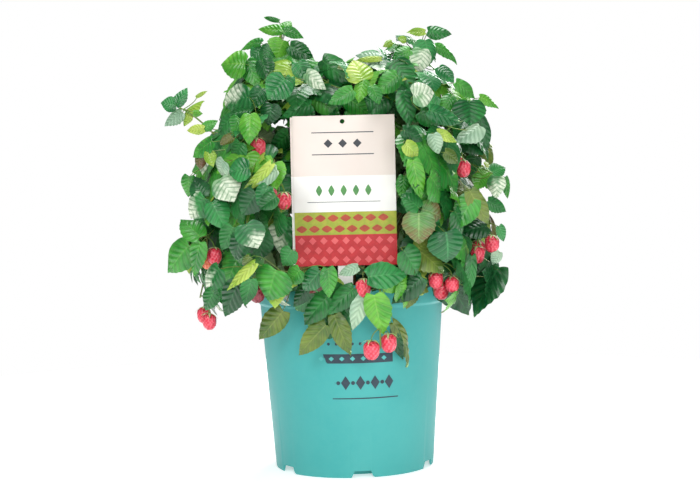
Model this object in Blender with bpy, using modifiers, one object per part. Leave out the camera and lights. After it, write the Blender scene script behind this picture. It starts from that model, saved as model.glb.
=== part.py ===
"""A raspberry bush in a tapered nursery pot, with its stick-in label.

Metres, +Z up. The origin is the middle of the flat underside of the pot, and the front is -Y.
Canes rise from the compost, and each carries one mass of leaves. A mass grows by a seeded rule: a stem
goes on from the cane, stalks leave the stem's nodes, and each stalk bears a leaf of up to three leaflets.
Berries hang in clusters on stalks of their own. Each mass keeps to its own space, which is every point
that lies nearer to its centre than to any other mass's.
"""

import math
import random

import bmesh
import bpy
from mathutils import Matrix, Vector
from mathutils.bvhtree import BVHTree

# Clearances
GAP = 0.0003
LEAF_CLEARANCE = 0.0022
CELL_MARGIN = 0.0006

# Pot, a 22 cm nursery container
POT_HEIGHT = 0.215
POT_RIM_RADIUS = 0.108
POT_BASE_RADIUS = 0.0925
POT_WALL = 0.002
RIM_BAND = 0.024
RIM_STEP = 0.0022
POT_STEPS = 40
CHANNEL_HEIGHT = 0.008
PLATEAU_RADIUS = 0.072
NOTCH_COUNT = 6
NOTCH_WIDTH = 0.024
NOTCH_HEIGHT = 0.008
FIRST_NOTCH = math.radians(5.5)

# Compost
SOIL_TOP = 0.190
SOIL_DOME = 0.004

# Label: a printed sheet in front of a carrier sheet with a stake
LABEL_WIDTH = 0.1145
LABEL_HEIGHT = 0.1645
LABEL_BOTTOM = 0.2365
LABEL_X = -0.0055
LABEL_Y = -0.099
SHEET_THICKNESS = 0.001
FRONT_SHEET_INSET = 0.0028
LABEL_HOLE_RADIUS = 0.0026
LABEL_HOLE_DROP = 0.0065
STAKE_WIDTH = 0.016
STAKE_DEPTH_IN_SOIL = 0.045
STAKE_POINT = 0.014

# Canes
CANE_FOOT_RADIUS = 0.0036
CANE_TIP_RADIUS = 0.0019
CANE_FLARE = 0.35
CANE_FLARE_LENGTH = 0.012
CANE_POINTS = 7
CANE_WANDER = 0.006
FOOT_STUB = 0.004
STRAIGHT_SHARE = 0.62
LEAST_RISE = 0.055
UPRIGHT_SHORTFALL = 0.35
UPRIGHT_LEAD = (-0.024, -0.030)
HANGING_SHORTFALL = 0.2
HANGING_RISE = 0.5
HANGING_LEAD = (-0.034, 0.010)
UP = Vector((0.0, 0.0, 1.0))

# Crown
CROWN_HEART = Vector((0.0, 0.0, 0.255))
CROWN_RADIUS = 0.192
CROWN_LEAN = 0.008
CROWN_SHOULDER = 0.34
CROWN_ROUNDING = 0.20
REACH_FLATNESS = 0.78
SHOOT_REACH = 0.42

# Stems and leaves
LEAF_LENGTH = 0.055
LEAF_THICKNESS = 0.0012
LEAF_SIZES = (1.12, 1.0, 0.9, 0.78, 0.64)
LEAFLET_HALF_ANGLE = math.radians(31)
SIDE_LEAFLET_ANGLE = math.radians(80)
SIDE_LEAFLET_SIZE = 0.86
LEAFLET_OUTLINE = ((-1, 0.66, 0.05), (0, 1.08, -0.20), (1, 0.66, 0.05))
NOTCH_REACH = 0.27
BUD_REACH = 0.08
STALK_RADIUS = 0.0009
STALK_FOOT_SHARE = 0.7
STEM_RADIUS = 0.0017
STEM_SAG = 0.012
STEM_POINTS = 6
NODE_SHARES = (0.15, 0.38, 0.62, 0.85)
SHORTEST_STALK = 0.010
LONGEST_STALK = 0.095
LEAVES_PER_MASS = 12
NODES_TRIED = 6
PLACES_TRIED = 1300
FACE_LIFT = 0.30
FACE_STRAY = 0.26
TIP_OUT = 0.65
TIP_DOWN = 0.75
TIP_ALONG = 0.25
TIP_STRAY = 0.45

# Berries
BERRY_RADIUS = 0.0086
BERRY_PROFILE = ((0.0, 0.40), (0.45, 1.0), (1.25, 0.88), (2.0, 0.34))
BERRY_SIDES = 6
BERRY_STALK_RADIUS = 0.0007
BERRY_SPREAD = 0.0105
BERRY_DROP = 0.008
BERRY_STEP = 0.006


def around(azimuth, radius, height):
    """The point at this azimuth in degrees, where 0 is the front, 90 the right and 180 the back."""
    angle = math.radians(azimuth)
    return Vector((radius * math.sin(angle), -radius * math.cos(angle), height))


class Mass:
    """One mass of foliage: where it sits, how far it reaches, and where its leading shoot ends."""

    def __init__(self, name, azimuth, radius, height, reach, tip, foot_radius):
        self.name = name
        self.azimuth = azimuth
        self.centre = around(azimuth, radius, height)
        self.reach = reach
        self.tip = around(*tip)
        self.foot = around(azimuth, foot_radius, SOIL_TOP + SOIL_DOME + GAP)


# Name, azimuth, radius, height and reach of the mass, then the end of its leading shoot.
MASS_PLACES = (
    ("top_left", -92, 0.080, 0.452, 0.096, (-92, 0.078, 0.490)),
    ("top_right", 88, 0.084, 0.442, 0.092, (90, 0.086, 0.480)),
    ("top_front", 8, 0.060, 0.415, 0.090, (10, 0.070, 0.445)),
    ("top_back", 180, 0.072, 0.422, 0.096, (180, 0.085, 0.462)),
    ("mid_left", -90, 0.150, 0.355, 0.086, (-87, 0.190, 0.418)),
    ("mid_front_left", -42, 0.140, 0.330, 0.088, (-43, 0.162, 0.382)),
    ("mid_front_right", 42, 0.140, 0.333, 0.088, (45, 0.158, 0.385)),
    ("mid_right", 90, 0.130, 0.350, 0.084, (88, 0.150, 0.402)),
    ("mid_back_right", 134, 0.138, 0.335, 0.088, (134, 0.162, 0.385)),
    ("mid_back", 180, 0.142, 0.340, 0.088, (180, 0.165, 0.392)),
    ("mid_back_left", -134, 0.140, 0.340, 0.088, (-134, 0.164, 0.392)),
    ("low_front", 13, 0.146, 0.188, 0.070, (11, 0.156, 0.150)),
    ("low_front_left", -27, 0.146, 0.194, 0.074, (-27, 0.158, 0.158)),
    ("low_front_right", 52, 0.142, 0.225, 0.082, (50, 0.154, 0.182)),
    ("low_left", -80, 0.150, 0.240, 0.090, (-82, 0.176, 0.200)),
    ("low_right", 100, 0.138, 0.235, 0.084, (96, 0.152, 0.200)),
    ("low_back_right", 154, 0.146, 0.228, 0.090, (154, 0.166, 0.188)),
    ("low_back_left", -146, 0.148, 0.222, 0.090, (-147, 0.168, 0.182)),
)
FOOT_RADII = {"top": 0.020, "mid": 0.046, "low": 0.072}

# Clusters of berries: azimuth, radius and height of the cluster's fork, number of berries.
BERRY_CLUSTERS = (
    (-39, 0.154, 0.384, 1),
    (-31, 0.150, 0.331, 2),
    (-62, 0.180, 0.272, 3),
    (-73, 0.172, 0.197, 2),
    (-40, 0.158, 0.226, 1),
    (5, 0.150, 0.231, 1),
    (11, 0.155, 0.172, 2),
    (42, 0.150, 0.236, 3),
    (67, 0.162, 0.272, 3),
    (53, 0.154, 0.362, 2),
    (100, 0.160, 0.350, 1),
    (-98, 0.178, 0.345, 2),
    (138, 0.168, 0.345, 2),
    (172, 0.160, 0.385, 1),
    (-142, 0.168, 0.345, 2),
    (112, 0.162, 0.250, 2),
    (165, 0.170, 0.225, 1),
    (-122, 0.172, 0.240, 2),
    (-166, 0.170, 0.238, 2),
    (160, 0.120, 0.450, 1),
)


def make_masses():
    masses = []
    for name, azimuth, radius, height, reach, tip in MASS_PLACES:
        foot = FOOT_RADII[name.split("_")[0]]
        masses.append(Mass(name, azimuth, radius, height, reach, tip, foot))
    return masses


def bezier(points, share):
    """The point of a cubic curve through its four control points."""
    a, b, c, d = points
    rest = 1.0 - share
    return a * rest**3 + b * (3 * rest**2 * share) + c * (3 * rest * share**2) + d * share**3


def cane_line(mass):
    """Points up a cane: straight up, then arching out to its mass, and over the rim where the mass hangs."""
    seeded = random.Random(mass.name + " cane")
    radial = around(mass.azimuth, 1.0, 0.0)
    leading = (mass.tip - mass.centre).normalized()
    if leading.z > 0.0:
        end = mass.centre - (leading + radial) * mass.reach * UPRIGHT_SHORTFALL
        out, rise = UPRIGHT_LEAD
    else:
        end = mass.centre + (UP * HANGING_RISE - radial * HANGING_SHORTFALL) * mass.reach
        out, rise = HANGING_LEAD
    lead = end + radial * out + UP * rise
    lift = mass.foot + UP * max(end.z - mass.foot.z, LEAST_RISE) * STRAIGHT_SHARE
    wander = radial.cross(UP) * seeded.uniform(-CANE_WANDER, CANE_WANDER)
    control = (mass.foot + UP * FOOT_STUB, lift + wander, lead + wander, end)
    line = [mass.foot.copy()]
    for step in range(CANE_POINTS):
        line.append(bezier(control, step / (CANE_POINTS - 1)))
    return line


def cane_radii(line):
    """A taper from foot to tip, with a small flare at the compost."""
    radii = []
    gone = 0.0
    whole = sum((b - a).length for a, b in zip(line, line[1:]))
    for index, point in enumerate(line):
        if index:
            gone += (point - line[index - 1]).length
        taper = CANE_FOOT_RADIUS + (CANE_TIP_RADIUS - CANE_FOOT_RADIUS) * gone / whole
        radii.append(taper * (1.0 + CANE_FLARE * math.exp(-gone / CANE_FLARE_LENGTH)))
    return radii


def stem_line(mass, cane):
    """The stem of a mass: straight on from its cane's tip, 0.3 mm clear, then to the leading shoot's end."""
    heading = (cane[-1] - cane[-2]).normalized()
    start = cane[-1] + heading * GAP
    bend = start + heading * FOOT_STUB
    reach = (mass.tip - bend).length
    late = bend.lerp(mass.tip, 0.7) + UP * STEM_SAG
    control = (bend, bend + heading * reach * 0.35, late, mass.tip)
    return [start] + [bezier(control, step / (STEM_POINTS - 1)) for step in range(STEM_POINTS)]


def tube(line, radii, sides):
    """Corner points and faces of a closed tube along a line, with no twist between its rings."""
    points = []
    faces = []
    turn = (line[1] - line[0]).to_track_quat("Z", "Y")
    for index, centre in enumerate(line):
        ahead = line[min(index + 1, len(line) - 1)]
        behind = line[max(index - 1, 0)]
        turn = (turn @ UP).rotation_difference(ahead - behind) @ turn
        for side in range(sides):
            angle = 2 * math.pi * side / sides
            offset = Vector((math.cos(angle), math.sin(angle), 0.0)) * radii[index]
            points.append(centre + turn @ offset)
    for ring in range(len(line) - 1):
        for side in range(sides):
            a = ring * sides + side
            b = ring * sides + (side + 1) % sides
            faces.append((a, b, b + sides, a + sides))
    faces.append(tuple(reversed(range(sides))))
    faces.append(tuple(range(len(points) - sides, len(points))))
    return points, faces


class Leaf:
    """A leaf of up to three leaflets, which meet at its joint. Its axis runs down the end leaflet."""

    def __init__(self, joint, axis, normal, length, sides):
        self.joint = joint
        self.axis = axis
        self.normal = normal
        self.across = normal.cross(axis)
        self.length = length
        self.sides = sides
        self.nodes = []
        self.foot = None

    def blade(self):
        """Corner points and faces of the blade: a ring round the leaflets, with a point above and one below.

        The last ring point and the first lie beside the stalk. The face between them, under the blade,
        is the last one.
        """
        rear = self.joint - self.axis * STALK_RADIUS * 1.7
        points = [rear - self.across * STALK_RADIUS]
        for angle, reach, lift in leaf_ring(self.sides):
            flat = self.axis * math.cos(angle) + self.across * math.sin(angle)
            points.append(self.joint + flat * reach * self.length + self.normal * lift * self.length)
        points.append(rear + self.across * STALK_RADIUS)
        count = len(points)
        points.append(self.joint + self.normal * LEAF_THICKNESS * 0.5)
        points.append(self.joint - self.normal * LEAF_THICKNESS * 0.8)
        faces = []
        for index in range(count):
            following = (index + 1) % count
            faces.append((count, index, following))
            faces.append((count + 1, following, index))
        return points, faces

    def shape(self):
        """The blade and its stalk as one skin: the stalk's three sides take the place of the last face."""
        points, faces = self.blade()
        mouth = faces.pop()
        middle = sum((points[index] for index in mouth), Vector()) / 3
        run = (self.foot - middle).normalized()
        foot = []
        for index in mouth:
            offset = points[index] - middle
            offset -= run * offset.dot(run)
            foot.append(len(points))
            points.append(self.foot + offset.normalized() * STALK_RADIUS * STALK_FOOT_SHARE)
        for side in range(3):
            following = (side + 1) % 3
            faces.append((mouth[side], mouth[following], foot[following]))
            faces.append((mouth[side], foot[following], foot[side]))
        faces.append(tuple(foot))
        return points, faces

    def stalk_fits(self):
        """True where the stalk leaves from under the blade or behind it, and not through it."""
        run = (self.foot - self.joint).normalized()
        return -0.55 * run.dot(self.axis) - 0.83 * run.dot(self.normal) > 0.3


def leaf_ring(sides):
    """Angle, reach and lift of the points round the leaflets. sides holds -1 or 1 for each side leaflet."""
    ring = []
    for way in (-1, 0, 1):
        turn = way * SIDE_LEAFLET_ANGLE
        size = SIDE_LEAFLET_SIZE if way else 1.0
        if way and way not in sides:
            ring.append((turn * 0.9, BUD_REACH, 0.0))
            continue
        for half, reach, lift in LEAFLET_OUTLINE:
            ring.append((turn + half * LEAFLET_HALF_ANGLE, reach * size, lift))
        if way < 1:
            ring.append((turn + SIDE_LEAFLET_ANGLE / 2, NOTCH_REACH, 0.0))
    return ring


def own_space(point, mass, masses):
    """True where the point is nearer to this mass's centre than to any other's, by a small margin."""
    here = (point - mass.centre).length_squared
    for other in masses:
        if other is mass:
            continue
        apart = other.centre - mass.centre
        margin = ((point - other.centre).length_squared - here) / (2 * apart.length)
        if margin < CELL_MARGIN:
            return False
    return True


def crown_radius(point):
    """How far out the crown goes at this height: straight sides with a round top, wider on the left."""
    above = max(point.z - CROWN_SHOULDER, 0.0) / CROWN_ROUNDING
    across = math.hypot(point.x, point.y)
    side = point.x / across if across else 0.0
    return (CROWN_RADIUS - CROWN_LEAN * side) * math.sqrt(max(1.0 - above**2, 0.0))


def within_reach(point, mass):
    """True in the mass's flattened ball and the crown, or near the line to the end of its leading shoot."""
    offset = point - mass.centre
    flattened = Vector((offset.x, offset.y, offset.z / REACH_FLATNESS))
    if flattened.length < mass.reach and math.hypot(point.x, point.y) < crown_radius(point):
        return True
    span = mass.tip - mass.centre
    share = min(max(offset.dot(span) / span.length_squared, 0.0), 1.0)
    return (offset - span * share).length < mass.reach * SHOOT_REACH


def box_shape(low, high):
    """Corner points and faces of a box between two corners."""
    points = [Vector((x, y, z)) for x in (low.x, high.x) for y in (low.y, high.y) for z in (low.z, high.z)]
    faces = [(0, 1, 3, 2), (4, 6, 7, 5), (0, 4, 5, 1), (2, 3, 7, 6), (0, 2, 6, 4), (1, 5, 7, 3)]
    return points, faces


def pot_radius(height):
    return POT_BASE_RADIUS + (POT_RIM_RADIUS - POT_BASE_RADIUS) * height / POT_HEIGHT


def pot_guard():
    """A closed tapered cup round the pot and the compost, which foliage stays out of."""
    clear = LEAF_CLEARANCE
    line = [Vector((0, 0, -clear)), Vector((0, 0, POT_HEIGHT + clear))]
    radii = [POT_BASE_RADIUS + clear, POT_RIM_RADIUS + RIM_STEP + clear]
    return tube(line, radii, POT_STEPS)


def label_guards():
    """Boxes round the label's sheets and stake, and the open window in front of the sheets."""
    clear = Vector((LEAF_CLEARANCE, LEAF_CLEARANCE, LEAF_CLEARANCE))
    half = LABEL_WIDTH / 2
    top = LABEL_BOTTOM + LABEL_HEIGHT
    low = Vector((LABEL_X - half, LABEL_Y - SHEET_THICKNESS, LABEL_BOTTOM))
    high = Vector((LABEL_X + half, LABEL_Y + 2 * SHEET_THICKNESS, top))
    window_low = Vector((low.x, LABEL_Y - LABEL_WIDTH, LABEL_BOTTOM))
    stake_low = Vector((LABEL_X - STAKE_WIDTH / 2, LABEL_Y, SOIL_TOP))
    stake_high = Vector((LABEL_X + STAKE_WIDTH / 2, LABEL_Y + 2 * SHEET_THICKNESS, LABEL_BOTTOM))
    return [
        box_shape(window_low - clear, high + clear),
        box_shape(stake_low - clear, stake_high + clear),
    ]


def tree_of(shapes):
    """One search tree over several shapes."""
    points = []
    faces = []
    for shape_points, shape_faces in shapes:
        first = len(points)
        points.extend(shape_points)
        faces.extend(tuple(first + index for index in face) for face in shape_faces)
    return BVHTree.FromPolygons(points, faces)


def inside_pot(point):
    """True in the pot or the compost. The space over the compost is free above the rim."""
    if point.z > POT_HEIGHT + LEAF_CLEARANCE:
        return False
    return math.hypot(point.x, point.y) < pot_radius(max(point.z, 0.0)) + RIM_STEP + LEAF_CLEARANCE


def in_label_window(point):
    half = LABEL_WIDTH / 2 + LEAF_CLEARANCE
    if not LABEL_BOTTOM - LEAF_CLEARANCE < point.z < LABEL_BOTTOM + LABEL_HEIGHT + LEAF_CLEARANCE:
        return False
    return abs(point.x - LABEL_X) < half and point.y < LABEL_Y + LEAF_CLEARANCE


def free(points, mass, masses):
    """True where every point is in the mass's own space and reach, and out of the pot and the window."""
    for point in points:
        if not own_space(point, mass, masses) or not within_reach(point, mass):
            return False
        if inside_pot(point) or in_label_window(point):
            return False
    return True


class Berry:
    """One fruit, hanging below the end of its stalk."""

    def __init__(self, top, fork, size):
        self.top = top
        self.fork = fork
        self.size = size


def hang_berries(fork, count, seeded):
    """Berries hung round a fork, each lower than the last."""
    berries = []
    first = seeded.uniform(0, 2 * math.pi)
    spread = BERRY_SPREAD if count > 1 else 0.0
    for index in range(count):
        angle = first + 2 * math.pi * index / count
        shift = Vector((math.cos(angle), math.sin(angle), 0.0)) * spread
        top = fork + shift - UP * (BERRY_DROP + BERRY_STEP * index)
        berries.append(Berry(top, fork, BERRY_RADIUS * seeded.uniform(0.93, 1.08)))
    return berries


def grow_berries(mass, masses, stem, blocked):
    """The clusters whose fork lies in the mass's own space, each on a stalk from the stem."""
    seeded = random.Random(mass.name + " berries")
    clusters = []
    for azimuth, radius, height, count in BERRY_CLUSTERS:
        fork = around(azimuth, radius, height)
        if min(masses, key=lambda other: (other.centre - fork).length) is not mass:
            continue
        berries = hang_berries(fork, count, seeded)
        corners = [corner for berry in berries for corner in berry_shape(berry)[0]]
        if not all(own_space(corner, mass, masses) for corner in corners):
            print(mass.name, "has no room for the cluster at", azimuth, height)
            continue
        for root in sorted(stem[2:], key=lambda node: (node - fork).length):
            stalk = tube([root, fork], [STALK_RADIUS * 1.5] * 2, 3)
            if not blocked.overlap(tree_of([stalk])):
                clusters.append((root, fork, berries))
                break
    return clusters


def berry_shape(berry):
    """Corner points and faces of a fruit with its stalk: a blunt cone, widest near its top."""
    line = [berry.fork] + [berry.top - UP * drop * berry.size for drop, _ in BERRY_PROFILE]
    radii = [BERRY_STALK_RADIUS] + [wide * berry.size for _, wide in BERRY_PROFILE]
    return tube(line, radii, BERRY_SIDES)


def view_guard(berry):
    """A thin tube from a berry outwards, so that no leaf hides the fruit."""
    middle = berry.top - UP * berry.size
    outward = Vector((middle.x, middle.y, 0.0)).normalized()
    if middle.y < 0.0:
        outward = Vector((outward.x * 0.25, -1.0, 0.1)).normalized()
    return tube([middle, middle + outward * 0.12], [berry.size * 0.75] * 2, 4)


def leaf_frame(place, mass, seeded):
    """Axis and normal of a leaf here: its face is turned out and up, and its tip hangs out and down."""
    radial = Vector((place.x, place.y, 0.0)).normalized()
    out = (place - CROWN_HEART).normalized()

    def stray(size):
        return Vector([seeded.gauss(0.0, size) for _ in range(3)])

    normal = (out + UP * FACE_LIFT + stray(FACE_STRAY)).normalized()
    leading = (mass.tip - mass.centre).normalized()
    fall = radial * TIP_OUT - UP * TIP_DOWN + leading * TIP_ALONG + stray(TIP_STRAY)
    axis = (fall - normal * fall.dot(normal)).normalized()
    return axis, normal


def stalk_shape(leaf, start=0.1, end=1.0):
    """A thin tube along part of a leaf's stalk, to test what it would cross."""
    line = [leaf.foot.lerp(leaf.joint, start), leaf.foot.lerp(leaf.joint, end)]
    return tube(line, [STALK_RADIUS * 1.5] * 2, 3)


def open_nodes(leaf, nodes, mass, masses, blocked):
    """The nodes of the stem that the leaf's stalk may leave from, near ones behind the leaf first."""
    heart = Vector((0.0, 0.0, leaf.joint.z))

    def cost(node):
        backward = 0.5 * max(0.0, (node - heart).length - (leaf.joint - heart).length)
        return (leaf.joint - node).length + backward

    good = []
    for node in sorted(nodes, key=cost)[:NODES_TRIED]:
        leaf.foot = node
        stalk = leaf.joint - node
        if not SHORTEST_STALK < stalk.length < LONGEST_STALK or not leaf.stalk_fits():
            continue
        if blocked.overlap(tree_of([stalk_shape(leaf)])):
            continue
        if free([node + stalk * share for share in (0.25, 0.5, 0.75)], mass, masses):
            good.append(node)
    return good


def try_leaf(place, mass, masses, blocked, seeded):
    """The largest leaf that fits with its middle here, or None."""
    axis, normal = leaf_frame(place, mass, seeded)
    size = seeded.uniform(0.86, 1.08)
    for scale in LEAF_SIZES:
        for sides in ((-1, 1), (-1,), (1,)):
            length = LEAF_LENGTH * size * scale
            leaf = Leaf(place - axis * 0.35 * length, axis, normal, length, sides)
            points, faces = leaf.blade()
            if not free(points, mass, masses):
                continue
            if blocked.overlap(BVHTree.FromPolygons(points, faces)):
                continue
            return leaf
    return None


def try_places(mass, masses, nodes, blocked, seeded):
    """Leaves that would fit, at places strewn through the outer part of the mass."""
    found = []
    for attempt in range(PLACES_TRIED):
        reach = mass.reach * seeded.uniform(0.15, 1.0) ** 0.5
        direction = Vector([seeded.gauss(0.0, 1.0) for _ in range(3)]).normalized()
        place = mass.centre + direction * reach
        if attempt % 6 == 0:
            share = seeded.uniform(0.5, 1.1)
            place = mass.centre + (mass.tip - mass.centre) * share + direction * 0.02
        if not own_space(place, mass, masses) or inside_pot(place):
            continue
        leaf = try_leaf(place, mass, masses, blocked, seeded)
        if leaf is None:
            continue
        leaf.nodes = open_nodes(leaf, nodes, mass, masses, blocked)
        if leaf.nodes:
            found.append(leaf)
    return found


def middle(leaf):
    return leaf.joint + leaf.axis * 0.4 * leaf.length


def outward(leaf):
    """How far out a leaf reaches from the heart of the crown."""
    return (middle(leaf) - CROWN_HEART).length + 0.3 * leaf.length


def worth(leaf, chosen):
    """More for a leaf that lies far from those chosen, and for one that is further out, larger or fuller."""
    apart = min((middle(leaf) - middle(other)).length for other in chosen) if chosen else 0.0
    return apart + 0.30 * outward(leaf) + 0.25 * leaf.length + 0.004 * len(leaf.sides)


def crosses(tree, taken):
    return any(tree.overlap(other) for other in taken)


def choose_leaves(found, count):
    """Chooses the leaf of most worth, time after time.

    Each leaf has a node of the stem to itself, and is passed over where it would cross a chosen leaf.
    """
    chosen = []
    taken = []
    rest = list(found)
    while rest and len(chosen) < count:
        best = max(rest, key=lambda leaf: worth(leaf, chosen))
        rest.remove(best)
        blade = BVHTree.FromPolygons(*best.blade())
        if crosses(blade, taken):
            continue
        used = [leaf.foot for leaf in chosen]
        for node in best.nodes:
            if node in used:
                continue
            best.foot = node
            stalk = BVHTree.FromPolygons(*stalk_shape(best, 0.12, 0.94))
            if not crosses(stalk, taken):
                chosen.append(best)
                taken.extend((blade, stalk))
                break
    return chosen


def grow(masses):
    """Each mass's stem, leaves and berry clusters, as a list in the order of the masses."""
    canes = [cane_line(mass) for mass in masses]
    fixed = [pot_guard(), *label_guards()]
    for line in canes:
        fixed.append(tube(line, [radius + LEAF_CLEARANCE for radius in cane_radii(line)], 6))
    grown = []
    for mass, cane in zip(masses, canes):
        seeded = random.Random(mass.name + " leaves")
        stem = stem_line(mass, cane)
        clusters = grow_berries(mass, masses, stem, tree_of(fixed))
        near = list(fixed)
        for _, _, berries in clusters:
            near.extend(berry_shape(berry) for berry in berries)
            near.extend(view_guard(berry) for berry in berries)
        blocked = tree_of(near)
        nodes = [a.lerp(b, share) for a, b in zip(stem[1:], stem[2:]) for share in NODE_SHARES]
        found = try_places(mass, masses, nodes, blocked, seeded)
        leaves = choose_leaves(found, LEAVES_PER_MASS)
        print(mass.name, "places", len(found), "leaves", len(leaves), "clusters", len(clusters))
        grown.append({"cane": cane, "stem": stem, "leaves": leaves, "clusters": clusters})
    return grown


def material(name, color, roughness, metallic=0.0):
    made = bpy.data.materials.new(name)
    made.use_nodes = True
    shader = made.node_tree.nodes["Principled BSDF"]
    shader.inputs["Base Color"].default_value = (*color, 1.0)
    shader.inputs["Roughness"].default_value = roughness
    shader.inputs["Metallic"].default_value = metallic
    return made


def add_object(name, data, collection, finish=None):
    made = bpy.data.objects.new(name, data)
    collection.objects.link(made)
    if finish is not None:
        made.data.materials.append(finish)
    return made


def mesh_from(name, shape):
    """A mesh of a list of points and faces, with its faces turned outwards."""
    points, faces = shape
    mesh = bpy.data.meshes.new(name)
    mesh.from_pydata(points, [], faces)
    shape_mesh = bmesh.new()
    shape_mesh.from_mesh(mesh)
    bmesh.ops.recalc_face_normals(shape_mesh, faces=shape_mesh.faces)
    shape_mesh.to_mesh(mesh)
    shape_mesh.free()
    return mesh


def turned(name, outline, steps, collection, finish):
    """A body turned from an outline of radius and height, by a Screw modifier."""
    mesh = bpy.data.meshes.new(name)
    points = [(radius, 0.0, height) for radius, height in outline]
    edges = [(index, index + 1) for index in range(len(points) - 1)]
    mesh.from_pydata(points, edges, [])
    made = add_object(name, mesh, collection, finish)
    screw = made.modifiers.new("turn", "SCREW")
    screw.steps = steps
    screw.render_steps = steps
    screw.use_merge_vertices = True
    screw.merge_threshold = 0.0001
    screw.use_smooth_shade = True
    return made


def pot_outline():
    """Up the inside of the pot, over the rim, down the outside and under the base to its middle."""
    inside = POT_WALL
    band = POT_HEIGHT - RIM_BAND
    floor = CHANNEL_HEIGHT + POT_WALL
    lip = 0.0008
    return [
        (0.0, inside),
        (PLATEAU_RADIUS - inside, inside),
        (PLATEAU_RADIUS - inside, floor),
        (pot_radius(floor) - inside, floor),
        (pot_radius(POT_HEIGHT) - inside, POT_HEIGHT - lip),
        (pot_radius(POT_HEIGHT) - inside + lip, POT_HEIGHT),
        (pot_radius(POT_HEIGHT) + RIM_STEP - lip, POT_HEIGHT),
        (pot_radius(POT_HEIGHT) + RIM_STEP, POT_HEIGHT - lip),
        (pot_radius(band) + RIM_STEP, band),
        (pot_radius(band), band - RIM_STEP),
        (pot_radius(0.0), 0.0),
        (pot_radius(0.0) - inside, 0.0),
        (pot_radius(0.0) - inside, CHANNEL_HEIGHT),
        (PLATEAU_RADIUS, CHANNEL_HEIGHT),
        (PLATEAU_RADIUS, 0.0),
        (0.0, 0.0),
    ]


def soil_outline():
    """From the middle of the domed top, out and down the side, to the middle of the underside.

    The compost lies 0.3 mm clear of the pot all round.
    """
    clear = POT_WALL + GAP
    floor = CHANNEL_HEIGHT + POT_WALL + GAP
    return [
        (0.0, SOIL_TOP + SOIL_DOME),
        (0.085, SOIL_TOP + SOIL_DOME),
        (pot_radius(SOIL_TOP) - clear - GAP, SOIL_TOP),
        (pot_radius(floor) - clear - GAP, floor),
        (PLATEAU_RADIUS - clear, floor),
        (PLATEAU_RADIUS - clear, clear),
        (0.0, clear),
    ]


def cut_box(name, size, matrix, collection):
    """A box that cuts, and isn't part of the object."""
    shape = bmesh.new()
    bmesh.ops.create_cube(shape, size=1.0, matrix=matrix @ Matrix.Diagonal((*size, 1.0)))
    mesh = bpy.data.meshes.new(name)
    shape.to_mesh(mesh)
    shape.free()
    made = add_object(name, mesh, collection)
    made.hide_render = True
    made.display_type = "WIRE"
    return made


def cut(target, cutter):
    difference = target.modifiers.new("cut " + cutter.name, "BOOLEAN")
    difference.operation = "DIFFERENCE"
    difference.object = cutter


def build_pot(collection, cutters):
    finish = material("pot teal", (0.12, 0.53, 0.51), 0.5)
    pot = turned("pot", pot_outline(), POT_STEPS, collection, finish)
    reach = 0.012
    for index in range(NOTCH_COUNT):
        angle = FIRST_NOTCH + 2 * math.pi * index / NOTCH_COUNT
        place = around(math.degrees(angle), POT_BASE_RADIUS, NOTCH_HEIGHT / 2 - 0.001)
        matrix = Matrix.Translation(place) @ Matrix.Rotation(angle, 4, "Z")
        size = (NOTCH_WIDTH, reach, NOTCH_HEIGHT + 0.002)
        cut(pot, cut_box(f"notch cutter {index}", size, matrix, cutters))
    return pot


def build_soil(collection, cutters):
    finish = material("compost", (0.045, 0.028, 0.018), 0.95)
    soil = turned("compost", soil_outline(), 32, collection, finish)
    depth = STAKE_DEPTH_IN_SOIL + 2 * GAP
    size = (STAKE_WIDTH + 2 * GAP, SHEET_THICKNESS + 2 * GAP, 2 * depth)
    place = Vector((LABEL_X, stake_middle(), SOIL_TOP))
    cut(soil, cut_box("stake slot cutter", size, Matrix.Translation(place), cutters))
    return soil


def stake_middle():
    """The middle of the carrier sheet's thickness, behind the printed sheet."""
    return LABEL_Y + SHEET_THICKNESS + GAP


def flat_sheet(name, outlines, y, collection, finish):
    """An upright sheet facing the front, cut to flat outlines of x and z."""
    curve = bpy.data.curves.new(name, "CURVE")
    curve.dimensions = "2D"
    curve.fill_mode = "BOTH"
    curve.extrude = SHEET_THICKNESS / 2
    for outline in outlines:
        spline = curve.splines.new("POLY")
        spline.points.add(len(outline) - 1)
        spline.use_cyclic_u = True
        for point, (x, z) in zip(spline.points, outline):
            point.co = (x, z, 0.0, 1.0)
    made = add_object(name, curve, collection, finish)
    made.rotation_euler = (math.pi / 2, 0.0, 0.0)
    made.location = (0.0, y, 0.0)
    return made


def hole_outline():
    """The round hole near the label's top edge."""
    height = LABEL_BOTTOM + LABEL_HEIGHT - LABEL_HOLE_DROP
    sides = 12
    turns = [2 * math.pi * index / sides for index in range(sides)]
    radius = LABEL_HOLE_RADIUS
    return [(LABEL_X + radius * math.cos(turn), height + radius * math.sin(turn)) for turn in turns]


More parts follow.
